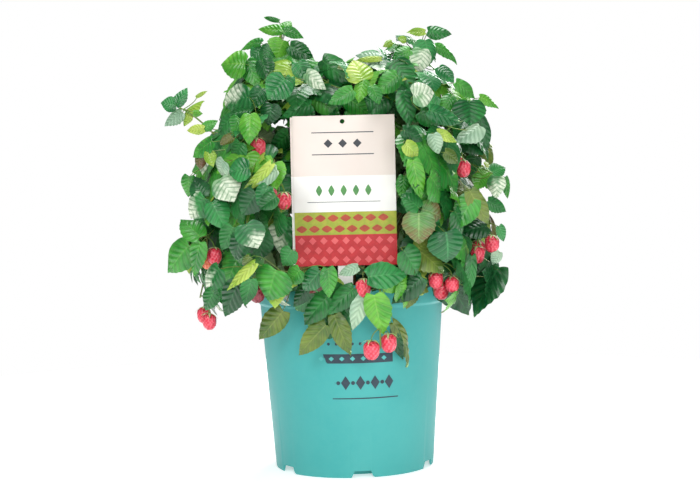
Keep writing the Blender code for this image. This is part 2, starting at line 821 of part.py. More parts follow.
def build_label(collection):
    """The printed sheet in front, and the carrier sheet with the stake behind it."""
    paper = material("label card", (0.88, 0.83, 0.78), 0.6)
    left = LABEL_X - LABEL_WIDTH / 2
    right = LABEL_X + LABEL_WIDTH / 2
    top = LABEL_BOTTOM + LABEL_HEIGHT
    inset = left + FRONT_SHEET_INSET
    printed = [(inset, LABEL_BOTTOM), (right, LABEL_BOTTOM), (right, top), (inset, top)]
    flat_sheet("label_front", [printed, hole_outline()], LABEL_Y, collection, paper)
    half = STAKE_WIDTH / 2
    foot = SOIL_TOP - STAKE_DEPTH_IN_SOIL
    carrier = [
        (left, LABEL_BOTTOM),
        (LABEL_X - half, LABEL_BOTTOM),
        (LABEL_X - half, foot + STAKE_POINT),
        (LABEL_X, foot),
        (LABEL_X + half, foot + STAKE_POINT),
        (LABEL_X + half, LABEL_BOTTOM),
        (right - 0.001, LABEL_BOTTOM),
        (right - 0.001, top - 0.001),
        (left, top - 0.001),
    ]
    flat_sheet("label_stake", [carrier, hole_outline()], stake_middle(), collection, paper)


def build_cane(mass, line, collection, finish):
    """A cane is a curve with a round section that tapers from its foot."""
    name = "cane_" + mass.name
    curve = bpy.data.curves.new(name, "CURVE")
    curve.dimensions = "3D"
    curve.bevel_depth = 1.0
    curve.bevel_resolution = 1
    curve.use_fill_caps = True
    spline = curve.splines.new("POLY")
    spline.points.add(len(line) - 1)
    for point, place, radius in zip(spline.points, line, cane_radii(line)):
        point.co = (*place, 1.0)
        point.radius = radius
    return add_object(name, curve, collection, finish)


def mass_bits(grown):
    """The closed shapes that are joined into one mass."""
    stem = grown["stem"]
    taper = [STEM_RADIUS * (1.0 - 0.5 * index / (len(stem) - 1)) for index in range(len(stem))]
    bits = [tube(stem, taper, 4)]
    bits.extend(leaf.shape() for leaf in grown["leaves"])
    for root, fork, berries in grown["clusters"]:
        end = fork + (fork - root).normalized() * BERRY_STALK_RADIUS
        bits.append(tube([root, end], [BERRY_STALK_RADIUS * 1.6, BERRY_STALK_RADIUS * 1.4], 3))
        bits.extend(berry_shape(berry) for berry in berries)
    return bits


def largest_piece(mesh):
    """Keeps the largest connected piece of a joined mesh: loose scraps go, and sealed hollows are filled."""
    shape = bmesh.new()
    shape.from_mesh(mesh)
    left = set(shape.verts)
    pieces = []
    while left:
        piece = {left.pop()}
        edge_of_search = list(piece)
        while edge_of_search:
            vertex = edge_of_search.pop()
            for edge in vertex.link_edges:
                other = edge.other_vert(vertex)
                if other in left:
                    left.remove(other)
                    piece.add(other)
                    edge_of_search.append(other)
        pieces.append(piece)
    pieces.sort(key=len)
    for piece in pieces[:-1]:
        bmesh.ops.delete(shape, geom=list(piece), context="VERTS")
    bmesh.ops.recalc_face_normals(shape, faces=shape.faces)
    shape.to_mesh(mesh)
    shape.free()
    return len(pieces) - 1


def build_mass(mass, grown, collection, finish):
    """Joins a mass's stem, stalks, leaves and berries by one union, and removes the loose shapes."""
    bits = mass_bits(grown)
    loose = bpy.data.collections.new("bits of " + mass.name)
    bpy.context.scene.collection.children.link(loose)
    base = add_object("base of " + mass.name, mesh_from("base", bits[0]), collection)
    for index, bit in enumerate(bits[1:]):
        add_object(f"bit {index}", mesh_from("bit", bit), loose)
    union = base.modifiers.new("join", "BOOLEAN")
    union.operation = "UNION"
    union.operand_type = "COLLECTION"
    union.collection = loose
    union.solver = "MANIFOLD"
    graph = bpy.context.evaluated_depsgraph_get()
    joined = bpy.data.meshes.new_from_object(base.evaluated_get(graph))
    joined.name = mass.name
    for bit in [base, *loose.objects]:
        bpy.data.objects.remove(bit)
    bpy.data.collections.remove(loose)
    scraps = largest_piece(joined)
    if scraps:
        print(mass.name, "dropped", scraps, "loose pieces")
    joined.materials.clear()
    return add_object("foliage_" + mass.name, joined, collection, finish)


def main():
    for old in list(bpy.data.objects):
        bpy.data.objects.remove(old)
    plant = bpy.data.collections.new("raspberry bush in a pot")
    cutters = bpy.data.collections.new("cutters")
    bpy.context.scene.collection.children.link(plant)
    bpy.context.scene.collection.children.link(cutters)
    build_pot(plant, cutters)
    build_soil(plant, cutters)
    build_label(plant)
    bark = material("cane bark", (0.23, 0.26, 0.09), 0.6)
    green = material("leaf green", (0.045, 0.21, 0.06), 0.5)
    masses = make_masses()
    for mass, grown in zip(masses, grow(masses)):
        build_cane(mass, grown["cane"], plant, bark)
        build_mass(mass, grown, plant, green)


main()
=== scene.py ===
# %% [markdown]
# A raspberry bush in a nursery pot
#
# The real thing is a young fruiting raspberry, sold in a turquoise pot with a card stuck in it. Nearly all
# that shows is leaves, so this lesson is mostly about leaves: where they grow, how one is shaped, and how
# hundreds of them are put into a few meshes at once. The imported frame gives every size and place.

# %% Load the frame
import math
import random

import bpy
import numpy as np
from mathutils import Matrix, Vector
from mathutils.bvhtree import BVHTree


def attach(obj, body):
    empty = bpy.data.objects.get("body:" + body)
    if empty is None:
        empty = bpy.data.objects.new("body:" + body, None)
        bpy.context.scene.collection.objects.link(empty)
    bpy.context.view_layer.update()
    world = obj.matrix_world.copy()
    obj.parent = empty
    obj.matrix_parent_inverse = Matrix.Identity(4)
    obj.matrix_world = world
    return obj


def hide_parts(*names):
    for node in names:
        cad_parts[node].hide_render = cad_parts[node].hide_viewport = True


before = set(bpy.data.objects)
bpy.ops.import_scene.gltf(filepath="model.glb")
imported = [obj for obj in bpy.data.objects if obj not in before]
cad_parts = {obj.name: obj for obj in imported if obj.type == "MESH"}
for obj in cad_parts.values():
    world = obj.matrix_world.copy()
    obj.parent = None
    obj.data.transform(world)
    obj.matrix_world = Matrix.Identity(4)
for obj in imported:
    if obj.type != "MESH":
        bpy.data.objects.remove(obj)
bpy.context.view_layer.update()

# %% [markdown]
# Camera first
#
# A camera that stands where the photographer stood makes every later comparison honest. It stands about a
# metre and a half away, a little over half the bush's height, and looks slightly down. It is rolled by
# about a degree, because the pot leans that much in the picture.

# %% Camera
CAMERA_PLACE = (0.0, -1.57, 0.305)
CAMERA_DOWN = math.radians(1.9)
CAMERA_ROLL = math.radians(1.3)
FOCAL_PIXELS = 1341
PICTURE_WIDTH = 700
PICTURE_HEIGHT = 495
SENSOR = 36.0

lens = bpy.data.cameras.new("camera")
lens.sensor_width = SENSOR
lens.lens = FOCAL_PIXELS * SENSOR / PICTURE_WIDTH
camera = bpy.data.objects.new("camera", lens)
bpy.context.scene.collection.objects.link(camera)
CAMERA_TURN = Matrix.Rotation(math.pi / 2 - CAMERA_DOWN, 3, "X") @ Matrix.Rotation(-CAMERA_ROLL, 3, "Z")
EYE = Vector(CAMERA_PLACE)
camera.rotation_euler = CAMERA_TURN.to_euler()
camera.location = CAMERA_PLACE
bpy.context.scene.camera = camera
print(f"lens {lens.lens:.1f} mm")


def sight(across, down):
    """The way from the camera through a pixel: (x - half width, half height - y, -focal length), turned."""
    return CAMERA_TURN @ Vector((across - PICTURE_WIDTH / 2, PICTURE_HEIGHT / 2 - down, -FOCAL_PIXELS))


def pixel_of(place):
    """The pixel where the camera sees a place: the same sum backwards."""
    seen = CAMERA_TURN.transposed() @ (place - EYE)
    return (PICTURE_WIDTH / 2 - FOCAL_PIXELS * seen.x / seen.z,
            PICTURE_HEIGHT / 2 + FOCAL_PIXELS * seen.y / seen.z)

# %% [markdown]
# Helpers for whole arrays
#
# Every new piece is a surface worked out with numpy. A mesh takes its points and faces as flat arrays, which
# is hundreds of times faster than adding them one by one. Faces come in blocks, each block with the same
# number of corners.


# %% Put arrays into a mesh
RIPPLE_WAVES = 9


def put_mesh(name, shape, finishes, looks=None, uv=None, sharp=None, stands_for=()):
    """A piece from a shape: points (n, 3), and blocks of faces (m, corners), closed and facing out.

    looks gives each face's finish, uv each point's pattern coordinate, sharp the angle in degrees over
    which an edge stays crisp, and stands_for the nodes of the frame that the piece replaces.
    """
    points, blocks = shape
    corners = np.concatenate([block.ravel() for block in blocks]).astype(np.int32)
    sizes = np.concatenate([np.full(len(block), block.shape[1]) for block in blocks])
    starts = np.concatenate([[0], np.cumsum(sizes)[:-1]]).astype(np.int32)
    mesh = bpy.data.meshes.new(name)
    mesh.vertices.add(len(points))
    mesh.loops.add(len(corners))
    mesh.polygons.add(len(sizes))
    mesh.vertices.foreach_set("co", np.asarray(points, np.float32).ravel())
    mesh.loops.foreach_set("vertex_index", corners)
    mesh.polygons.foreach_set("loop_start", starts)
    for finish in finishes:
        mesh.materials.append(finish)
    if looks is not None:
        mesh.polygons.foreach_set("material_index", np.asarray(looks, np.int32))
    mesh.update(calc_edges=True)
    if uv is not None:
        layer = mesh.uv_layers.new(name="pattern")
        layer.data.foreach_set("uv", np.asarray(uv, np.float32)[corners].ravel())
    mesh.shade_smooth()
    if sharp is not None:
        mesh.set_sharp_from_angle(angle=math.radians(sharp))
    piece = bpy.data.objects.new(name, mesh)
    bpy.context.scene.collection.objects.link(piece)
    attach(piece, "root")
    if stands_for:
        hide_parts(*stands_for)
    print(f"{name}: {len(points)} points, {len(sizes)} faces")


def unit(vectors):
    """Each vector divided by its length."""
    return vectors / np.maximum(np.linalg.norm(vectors, axis=-1, keepdims=True), 1e-12)


def ripple(points, size, seed):
    """A smooth seeded roughness from -1 to 1: the mean of sine waves that cross in many directions."""
    drawn = np.random.default_rng(seed)
    ways = unit(drawn.normal(size=(RIPPLE_WAVES, 3)))
    ways = ways * (2 * np.pi / size) * drawn.uniform(0.6, 1.5, (RIPPLE_WAVES, 1))
    phases = drawn.uniform(0, 2 * np.pi, RIPPLE_WAVES)
    return np.sin(points @ ways.T + phases).sum(axis=-1) / math.sqrt(RIPPLE_WAVES)


def full_turn(steps):
    """The angles of even steps round a full turn."""
    return np.arange(steps) * 2 * np.pi / steps


def on_axis(radius, angle, height):
    """Points round the upright axis: x = r sin a and y = -r cos a, so that a = 0 is the front."""
    return np.stack(np.broadcast_arrays(radius * np.sin(angle), -radius * np.cos(angle), height), axis=-1)


def grid_faces(rings, sides):
    """The quads of a tube of points, ring after ring, each ring closed on itself."""
    ring = np.arange(rings - 1)[:, None] * sides
    side = np.arange(sides)[None]
    after = (side + 1) % sides
    quads = [ring + side, ring + after, ring + sides + after, ring + sides + side]
    return np.stack(quads, axis=-1).reshape(-1, 4)


def repeat_faces(faces, count, each):
    """The same faces for each of many shapes that have this many points each."""
    first = np.arange(count)[:, None, None] * each
    return (faces[None] + first).reshape(-1, faces.shape[1])


def tube_faces(count, rings, sides):
    """The faces of many tubes: their walls, then a flat cap at the foot and one at the top."""
    foot = np.arange(sides)[None, ::-1]
    top = (rings - 1) * sides + foot[:, ::-1]
    return [repeat_faces(faces, count, rings * sides) for faces in (grid_faces(rings, sides), foot, top)]


def fan_faces(rings, turns):
    """The faces of one turned grid, closed at both ends by fans to the two points that follow it."""
    ring = np.arange(turns)
    after = (ring + 1) % turns
    last = (rings - 1) * turns
    head = np.stack([ring, after, np.full(turns, rings * turns)], axis=1)
    foot = np.stack([last + after, last + ring, np.full(turns, rings * turns + 1)], axis=1)
    return [grid_faces(rings, turns)[:, ::-1], np.concatenate([head, foot])]


def tubes(lines, radii, sides):
    """Round bars along many lines at once: lines (k, r, 3) and radii (k, r) give points and face blocks.

    Each ring lies square to its line, at centre + radius * (cos a * across + sin a * beside). The ends
    are closed by flat caps.
    """
    count, rings, _ = lines.shape
    ahead = unit(np.gradient(lines, axis=1))
    chord = unit(lines[:, -1] - lines[:, 0])
    pick = np.eye(3)[np.argmin(np.abs(chord), axis=1)][:, None]
    across = unit(pick - (pick * ahead).sum(-1, keepdims=True) * ahead)
    beside = np.cross(ahead, across)
    angle = full_turn(sides)
    ring = across[:, :, None] * np.cos(angle)[:, None] + beside[:, :, None] * np.sin(angle)[:, None]
    points = (lines[:, :, None] + ring * radii[:, :, None, None]).reshape(-1, 3)
    return points, tube_faces(count, rings, sides)


def join(shapes):
    """Several (points, blocks) as one, with the face blocks moved up past the points before them."""
    points = np.concatenate([shape[0] for shape in shapes])
    blocks = []
    first = 0
    for shape_points, shape_blocks in shapes:
        blocks.extend(block + first for block in shape_blocks)
        first += len(shape_points)
    return points, blocks


def bezier_rows(controls, steps):
    """Many cubic curves at once: k rows of four points give (k, steps, 3), by the four Bernstein weights."""
    controls = np.array([[tuple(point) for point in four] for four in controls])
    s = np.linspace(0, 1, steps)
    weights = np.stack([(1 - s) ** 3, 3 * s * (1 - s) ** 2, 3 * s**2 * (1 - s), s**3], axis=1)
    return np.einsum("sw,kwd->ksd", weights, controls)


print("a test tube of quads:", len(grid_faces(4, 8)))

# %% [markdown]
# The growth rule
#
# The frame's solids grew by a seeded rule, and the same rule runs here again, so that every cane, stem, leaf
# joint and berry is where the solids have it. Each mass of foliage owns the space nearest to its centre. A
# stem goes on from its cane. Places for leaves are strewn through the mass, and the best ones are kept.

# %% Sizes that the rule shares with the solids
GAP = 0.0003
LEAF_CLEARANCE = 0.0022
CELL_MARGIN = 0.0006
POT_HEIGHT = 0.215
POT_RIM_RADIUS = 0.108
POT_BASE_RADIUS = 0.0925
RIM_STEP = 0.0022
POT_STEPS = 40
SOIL_TOP = 0.190
SOIL_DOME = 0.004
LABEL_WIDTH = 0.1145
LABEL_HEIGHT = 0.1645
LABEL_BOTTOM = 0.2365
LABEL_X = -0.0055
LABEL_Y = -0.099
SHEET_THICKNESS = 0.001
STAKE_WIDTH = 0.016
CANE_FOOT_RADIUS = 0.0036
CANE_TIP_RADIUS = 0.0019
CANE_FLARE = 0.35
CANE_FLARE_LENGTH = 0.012
CANE_POINTS = 7
CANE_WANDER = 0.006
FOOT_STUB = 0.004
STRAIGHT_SHARE = 0.62
LEAST_RISE = 0.055
UPRIGHT_SHORTFALL = 0.35
UPRIGHT_LEAD = (-0.024, -0.030)
HANGING_SHORTFALL = 0.2
HANGING_RISE = 0.5
HANGING_LEAD = (-0.034, 0.010)
UP = Vector((0.0, 0.0, 1.0))
CROWN_HEART = Vector((0.0, 0.0, 0.255))
CROWN_RADIUS = 0.192
CROWN_LEAN = 0.008
CROWN_SHOULDER = 0.34
CROWN_ROUNDING = 0.20
REACH_FLATNESS = 0.78
SHOOT_REACH = 0.42
LEAF_LENGTH = 0.055
LEAF_THICKNESS = 0.0012
LEAF_SIZES = (1.12, 1.0, 0.9, 0.78, 0.64)
LEAFLET_HALF_ANGLE = math.radians(31)
SIDE_LEAFLET_ANGLE = math.radians(80)
SIDE_LEAFLET_SIZE = 0.86
LEAFLET_OUTLINE = ((-1, 0.66, 0.05), (0, 1.08, -0.20), (1, 0.66, 0.05))
NOTCH_REACH = 0.27
BUD_REACH = 0.08
STALK_RADIUS = 0.0009
STEM_RADIUS = 0.0017
STEM_SAG = 0.012
STEM_POINTS = 6
NODE_SHARES = (0.15, 0.38, 0.62, 0.85)
SHORTEST_STALK = 0.010
LONGEST_STALK = 0.095
LEAVES_PER_MASS = 12
NODES_TRIED = 6
PLACES_TRIED = 1300
FACE_LIFT = 0.30
FACE_STRAY = 0.26
TIP_OUT = 0.65
TIP_DOWN = 0.75
TIP_ALONG = 0.25
TIP_STRAY = 0.45
STALK_BACK = 0.55
STALK_UNDER = 0.83
STALK_LEAST = 0.3
JOINT_BACK = 0.35
SIZE_SPREAD = (0.86, 1.08)
BERRY_RADIUS = 0.0086
BERRY_PROFILE = ((0.0, 0.40), (0.45, 1.0), (1.25, 0.88), (2.0, 0.34))
BERRY_SIDES = 6
BERRY_STALK_RADIUS = 0.0007
BERRY_SPREAD = 0.0105
BERRY_DROP = 0.008
BERRY_STEP = 0.006

# Name, azimuth, radius, height and reach of each mass, then the end of its leading shoot.
MASS_PLACES = (
    ("top_left", -92, 0.080, 0.452, 0.096, (-92, 0.078, 0.490)),
    ("top_right", 88, 0.084, 0.442, 0.092, (90, 0.086, 0.480)),
    ("top_front", 8, 0.060, 0.415, 0.090, (10, 0.070, 0.445)),
    ("top_back", 180, 0.072, 0.422, 0.096, (180, 0.085, 0.462)),
    ("mid_left", -90, 0.150, 0.355, 0.086, (-87, 0.190, 0.418)),
    ("mid_front_left", -42, 0.140, 0.330, 0.088, (-43, 0.162, 0.382)),
    ("mid_front_right", 42, 0.140, 0.333, 0.088, (45, 0.158, 0.385)),
    ("mid_right", 90, 0.130, 0.350, 0.084, (88, 0.150, 0.402)),
    ("mid_back_right", 134, 0.138, 0.335, 0.088, (134, 0.162, 0.385)),
    ("mid_back", 180, 0.142, 0.340, 0.088, (180, 0.165, 0.392)),
    ("mid_back_left", -134, 0.140, 0.340, 0.088, (-134, 0.164, 0.392)),
    ("low_front", 13, 0.146, 0.188, 0.070, (11, 0.156, 0.150)),
    ("low_front_left", -27, 0.146, 0.194, 0.074, (-27, 0.158, 0.158)),
    ("low_front_right", 52, 0.142, 0.225, 0.082, (50, 0.154, 0.182)),
    ("low_left", -80, 0.150, 0.240, 0.090, (-82, 0.176, 0.200)),
    ("low_right", 100, 0.138, 0.235, 0.084, (96, 0.152, 0.200)),
    ("low_back_right", 154, 0.146, 0.228, 0.090, (154, 0.166, 0.188)),
    ("low_back_left", -146, 0.148, 0.222, 0.090, (-147, 0.168, 0.182)),
)
FOOT_RADII = {"top": 0.020, "mid": 0.046, "low": 0.072}

# Clusters of berries: azimuth, radius and height of the cluster's fork, number of berries.
BERRY_CLUSTERS = (
    (-39, 0.154, 0.384, 1), (-31, 0.150, 0.331, 2), (-62, 0.180, 0.272, 3), (-73, 0.172, 0.197, 2),
    (-40, 0.158, 0.226, 1), (5, 0.150, 0.231, 1), (11, 0.155, 0.172, 2), (42, 0.150, 0.236, 3),
    (67, 0.162, 0.272, 3), (53, 0.154, 0.362, 2), (100, 0.160, 0.350, 1), (-98, 0.178, 0.345, 2),
    (138, 0.168, 0.345, 2), (172, 0.160, 0.385, 1), (-142, 0.168, 0.345, 2), (112, 0.162, 0.250, 2),
    (165, 0.170, 0.225, 1), (-122, 0.172, 0.240, 2), (-166, 0.170, 0.238, 2), (160, 0.120, 0.450, 1),
)
print("masses:", len(MASS_PLACES), "clusters of berries:", len(BERRY_CLUSTERS))


# %% Masses, canes and stems
def around(azimuth, radius, height):
    """The point at this azimuth in degrees, where 0 is the front, 90 the right and 180 the back."""
    angle = math.radians(azimuth)
    return Vector((radius * math.sin(angle), -radius * math.cos(angle), height))


def outwards(place):
    """The level way from the axis out to a place."""
    return Vector((place.x, place.y, 0.0)).normalized()


def square_to(vector, other):
    """The part of a vector that stands square to a unit vector, with length 1."""
    return (vector - other * vector.dot(other)).normalized()


def stray(seeded, size=1.0):
    """A seeded shift to any side: three draws from a bell curve of this width."""
    return Vector([seeded.gauss(0.0, size) for _ in range(3)])


class Mass:
    """One mass of foliage: where it sits, how far it reaches, and where its leading shoot ends."""

    def __init__(self, name, azimuth, radius, height, reach, tip):
        self.name = name
        self.azimuth = azimuth
        self.centre = around(azimuth, radius, height)
        self.reach = reach
        self.tip = around(*tip)
        foot_radius = FOOT_RADII[name.split("_")[0]]
        self.foot = around(azimuth, foot_radius, SOIL_TOP + SOIL_DOME + GAP)


def bezier(points, share):
    """The point of a cubic curve through its four control points."""
    a, b, c, d = points
    rest = 1.0 - share
    return a * rest**3 + b * (3 * rest**2 * share) + c * (3 * rest * share**2) + d * share**3


def cane_control(mass):
    """The four control points of a cane: straight up, then arching out to its mass."""
    seeded = random.Random(mass.name + " cane")
    radial = around(mass.azimuth, 1.0, 0.0)
    leading = (mass.tip - mass.centre).normalized()
    if leading.z > 0.0:
        end = mass.centre - (leading + radial) * mass.reach * UPRIGHT_SHORTFALL
        out, rise = UPRIGHT_LEAD
    else:
        end = mass.centre + (UP * HANGING_RISE - radial * HANGING_SHORTFALL) * mass.reach
        out, rise = HANGING_LEAD
    lead = end + radial * out + UP * rise
    lift = mass.foot + UP * max(end.z - mass.foot.z, LEAST_RISE) * STRAIGHT_SHARE
    wander = radial.cross(UP) * seeded.uniform(-CANE_WANDER, CANE_WANDER)
    return (mass.foot + UP * FOOT_STUB, lift + wander, lead + wander, end)


def cane_line(mass):
    """Points up a cane, from its foot to its tip, as the solids have them."""
    control = cane_control(mass)
    line = [mass.foot.copy()]
    for step in range(CANE_POINTS):
        line.append(bezier(control, step / (CANE_POINTS - 1)))
    return line


def cane_radii(line):
    """A taper from foot to tip, with a small flare at the compost."""
    radii = []
    gone = 0.0
    whole = sum((b - a).length for a, b in zip(line, line[1:]))
    for index, point in enumerate(line):
        if index:
            gone += (point - line[index - 1]).length
        taper = CANE_FOOT_RADIUS + (CANE_TIP_RADIUS - CANE_FOOT_RADIUS) * gone / whole
        radii.append(taper * (1.0 + CANE_FLARE * math.exp(-gone / CANE_FLARE_LENGTH)))
    return radii


def stem_line(mass, cane):
    """The stem of a mass: straight on from its cane's tip, 0.3 mm clear, then to the leading shoot's end."""
    heading = (cane[-1] - cane[-2]).normalized()
    start = cane[-1] + heading * GAP
    bend = start + heading * FOOT_STUB
    reach = (mass.tip - bend).length
    late = bend.lerp(mass.tip, 0.7) + UP * STEM_SAG
    control = (bend, bend + heading * reach * 0.35, late, mass.tip)
    return [start] + [bezier(control, step / (STEM_POINTS - 1)) for step in range(STEM_POINTS)]


# %% Plain shapes that the rule tests against
def tube(line, radii, sides):
    """Corner points and faces of a closed tube along a line, with no twist between its rings."""
    points = []
    faces = []
    turn = (line[1] - line[0]).to_track_quat("Z", "Y")
    for index, centre in enumerate(line):
        ahead = line[min(index + 1, len(line) - 1)]
        behind = line[max(index - 1, 0)]
        turn = (turn @ UP).rotation_difference(ahead - behind) @ turn
        for side in range(sides):
            angle = 2 * math.pi * side / sides
            offset = Vector((math.cos(angle), math.sin(angle), 0.0)) * radii[index]
            points.append(centre + turn @ offset)
    for ring in range(len(line) - 1):
        for side in range(sides):
            a = ring * sides + side
            b = ring * sides + (side + 1) % sides
            faces.append((a, b, b + sides, a + sides))
    faces.append(tuple(reversed(range(sides))))
    faces.append(tuple(range(len(points) - sides, len(points))))
    return points, faces


def leaf_ring(sides):
    """Angle, reach and lift of the points round the leaflets. sides holds -1 or 1 for each side leaflet."""
    ring = []
    for way in (-1, 0, 1):
        turn = way * SIDE_LEAFLET_ANGLE
        size = SIDE_LEAFLET_SIZE if way else 1.0
        if way and way not in sides:
            ring.append((turn * 0.9, BUD_REACH, 0.0))
            continue
        for half, reach, lift in LEAFLET_OUTLINE:
            ring.append((turn + half * LEAFLET_HALF_ANGLE, reach * size, lift))
        if way < 1:
            ring.append((turn + SIDE_LEAFLET_ANGLE / 2, NOTCH_REACH, 0.0))
    return ring


class Leaf:
    """A leaf of up to three leaflets, which meet at its joint. Its axis runs down the end leaflet."""

    def __init__(self, joint, axis, normal, length, sides):
        self.joint = joint
        self.axis = axis
        self.normal = normal
        self.across = normal.cross(axis)
        self.length = length
        self.sides = sides
        self.nodes = []
        self.foot = None

    def way(self, angle):
        """The way in the blade's plane at this angle from its axis."""
        return self.axis * math.cos(angle) + self.across * math.sin(angle)

    def blade(self):
        """Corner points and faces of the blade: a ring round the leaflets, with a point above and below."""
        rear = self.joint - self.axis * STALK_RADIUS * 1.7
        points = [rear - self.across * STALK_RADIUS]
        for angle, reach, lift in leaf_ring(self.sides):
            up = self.normal * lift * self.length
            points.append(self.joint + self.way(angle) * reach * self.length + up)
        points.append(rear + self.across * STALK_RADIUS)
        count = len(points)
        points.append(self.joint + self.normal * LEAF_THICKNESS * 0.5)
        points.append(self.joint - self.normal * LEAF_THICKNESS * 0.8)
        faces = []
        for index in range(count):
            following = (index + 1) % count
            faces.append((count, index, following))
            faces.append((count + 1, following, index))
        return points, faces

    def stalk_fits(self):
        """True where the stalk leaves from under the blade or behind it, and not through it."""
        run = (self.foot - self.joint).normalized()
        return -STALK_BACK * run.dot(self.axis) - STALK_UNDER * run.dot(self.normal) > STALK_LEAST


def box_shape(low, high):
    """Corner points and faces of a box between two corners."""
    points = [Vector((x, y, z)) for x in (low.x, high.x) for y in (low.y, high.y) for z in (low.z, high.z)]
    faces = [(0, 1, 3, 2), (4, 6, 7, 5), (0, 4, 5, 1), (2, 3, 7, 6), (0, 2, 6, 4), (1, 5, 7, 3)]
    return points, faces


def pot_radius(height):
    """The outer radius of the pot's wall: it widens evenly from base to rim."""
    return POT_BASE_RADIUS + (POT_RIM_RADIUS - POT_BASE_RADIUS) * height / POT_HEIGHT


def pot_guard():
    """A closed tapered cup round the pot and the compost, which foliage stays out of."""
    clear = LEAF_CLEARANCE
    line = [Vector((0, 0, -clear)), Vector((0, 0, POT_HEIGHT + clear))]
    radii = [POT_BASE_RADIUS + clear, POT_RIM_RADIUS + RIM_STEP + clear]
    return tube(line, radii, POT_STEPS)


def label_guards():
    """Boxes round the label's sheets and stake, and the open window in front of the sheets."""
    clear = Vector((LEAF_CLEARANCE, LEAF_CLEARANCE, LEAF_CLEARANCE))
    half = LABEL_WIDTH / 2
    top = LABEL_BOTTOM + LABEL_HEIGHT
    low = Vector((LABEL_X - half, LABEL_Y - SHEET_THICKNESS, LABEL_BOTTOM))
    high = Vector((LABEL_X + half, LABEL_Y + 2 * SHEET_THICKNESS, top))
    window_low = Vector((low.x, LABEL_Y - LABEL_WIDTH, LABEL_BOTTOM))
    stake_low = Vector((LABEL_X - STAKE_WIDTH / 2, LABEL_Y, SOIL_TOP))
    stake_high = Vector((LABEL_X + STAKE_WIDTH / 2, LABEL_Y + 2 * SHEET_THICKNESS, LABEL_BOTTOM))
    return [
        box_shape(window_low - clear, high + clear),
        box_shape(stake_low - clear, stake_high + clear),
    ]


def tree_of(shapes):
    """One search tree over several shapes."""
    points = []
    faces = []
    for shape_points, shape_faces in shapes:
        first = len(points)
        points.extend(shape_points)
        faces.extend(tuple(first + index for index in face) for face in shape_faces)
    return BVHTree.FromPolygons(points, faces)


# %% Where a leaf may be
def own_space(point, mass, masses):
    """True where the point is nearer to this mass's centre than to any other's, by a small margin."""
    here = (point - mass.centre).length_squared
    for other in masses:
        if other is mass:
            continue
        apart = other.centre - mass.centre
        margin = ((point - other.centre).length_squared - here) / (2 * apart.length)
        if margin < CELL_MARGIN:
            return False
    return True


def crown_radius(point):
    """How far out the crown goes at this height: straight sides with a round top, wider on the left."""
    above = max(point.z - CROWN_SHOULDER, 0.0) / CROWN_ROUNDING
    across = math.hypot(point.x, point.y)
    side = point.x / across if across else 0.0
    return (CROWN_RADIUS - CROWN_LEAN * side) * math.sqrt(max(1.0 - above**2, 0.0))


def within_reach(point, mass):
    """True in the mass's flattened ball and the crown, or near the line to the end of its leading shoot."""
    offset = point - mass.centre
    flattened = Vector((offset.x, offset.y, offset.z / REACH_FLATNESS))
    if flattened.length < mass.reach and math.hypot(point.x, point.y) < crown_radius(point):
        return True
    span = mass.tip - mass.centre
    share = min(max(offset.dot(span) / span.length_squared, 0.0), 1.0)
    return (offset - span * share).length < mass.reach * SHOOT_REACH


def inside_pot(point):
    """True in the pot or the compost. The space over the compost is free above the rim."""
    if point.z > POT_HEIGHT + LEAF_CLEARANCE:
        return False
    return math.hypot(point.x, point.y) < pot_radius(max(point.z, 0.0)) + RIM_STEP + LEAF_CLEARANCE


def in_label_window(point):
    """True in front of the label, where nothing may hide it."""
    half = LABEL_WIDTH / 2 + LEAF_CLEARANCE
    if not LABEL_BOTTOM - LEAF_CLEARANCE < point.z < LABEL_BOTTOM + LABEL_HEIGHT + LEAF_CLEARANCE:
        return False
    return abs(point.x - LABEL_X) < half and point.y < LABEL_Y + LEAF_CLEARANCE


def free(points, mass, masses):
    """True where every point is in the mass's own space and reach, and out of the pot and the window."""
    for point in points:
        if not own_space(point, mass, masses) or not within_reach(point, mass):
            return False
        if inside_pot(point) or in_label_window(point):
            return False
    return True


# %% Berries hang first, so that no leaf hides them
class Berry:
    """One fruit, hanging below the end of its stalk."""

    def __init__(self, top, fork, size):
        self.top = top
        self.fork = fork
        self.size = size


def hang_berries(fork, count, seeded):
    """Berries hung round a fork, each lower than the last."""
    berries = []
    first = seeded.uniform(0, 2 * math.pi)
    spread = BERRY_SPREAD if count > 1 else 0.0
    for index in range(count):
        angle = first + 2 * math.pi * index / count
        shift = Vector((math.cos(angle), math.sin(angle), 0.0)) * spread
        top = fork + shift - UP * (BERRY_DROP + BERRY_STEP * index)
        berries.append(Berry(top, fork, BERRY_RADIUS * seeded.uniform(0.93, 1.08)))
    return berries


def berry_shape(berry):
    """Corner points and faces of a fruit with its stalk: a blunt cone, widest near its top."""
    line = [berry.fork] + [berry.top - UP * drop * berry.size for drop, _ in BERRY_PROFILE]
    radii = [BERRY_STALK_RADIUS] + [wide * berry.size for _, wide in BERRY_PROFILE]
    return tube(line, radii, BERRY_SIDES)


def view_guard(berry):
    """A thin tube from a berry outwards, so that no leaf hides the fruit."""
    middle = berry.top - UP * berry.size
    outward = outwards(middle)
    if middle.y < 0.0:
        outward = Vector((outward.x * 0.25, -1.0, 0.1)).normalized()
    return tube([middle, middle + outward * 0.12], [berry.size * 0.75] * 2, 4)


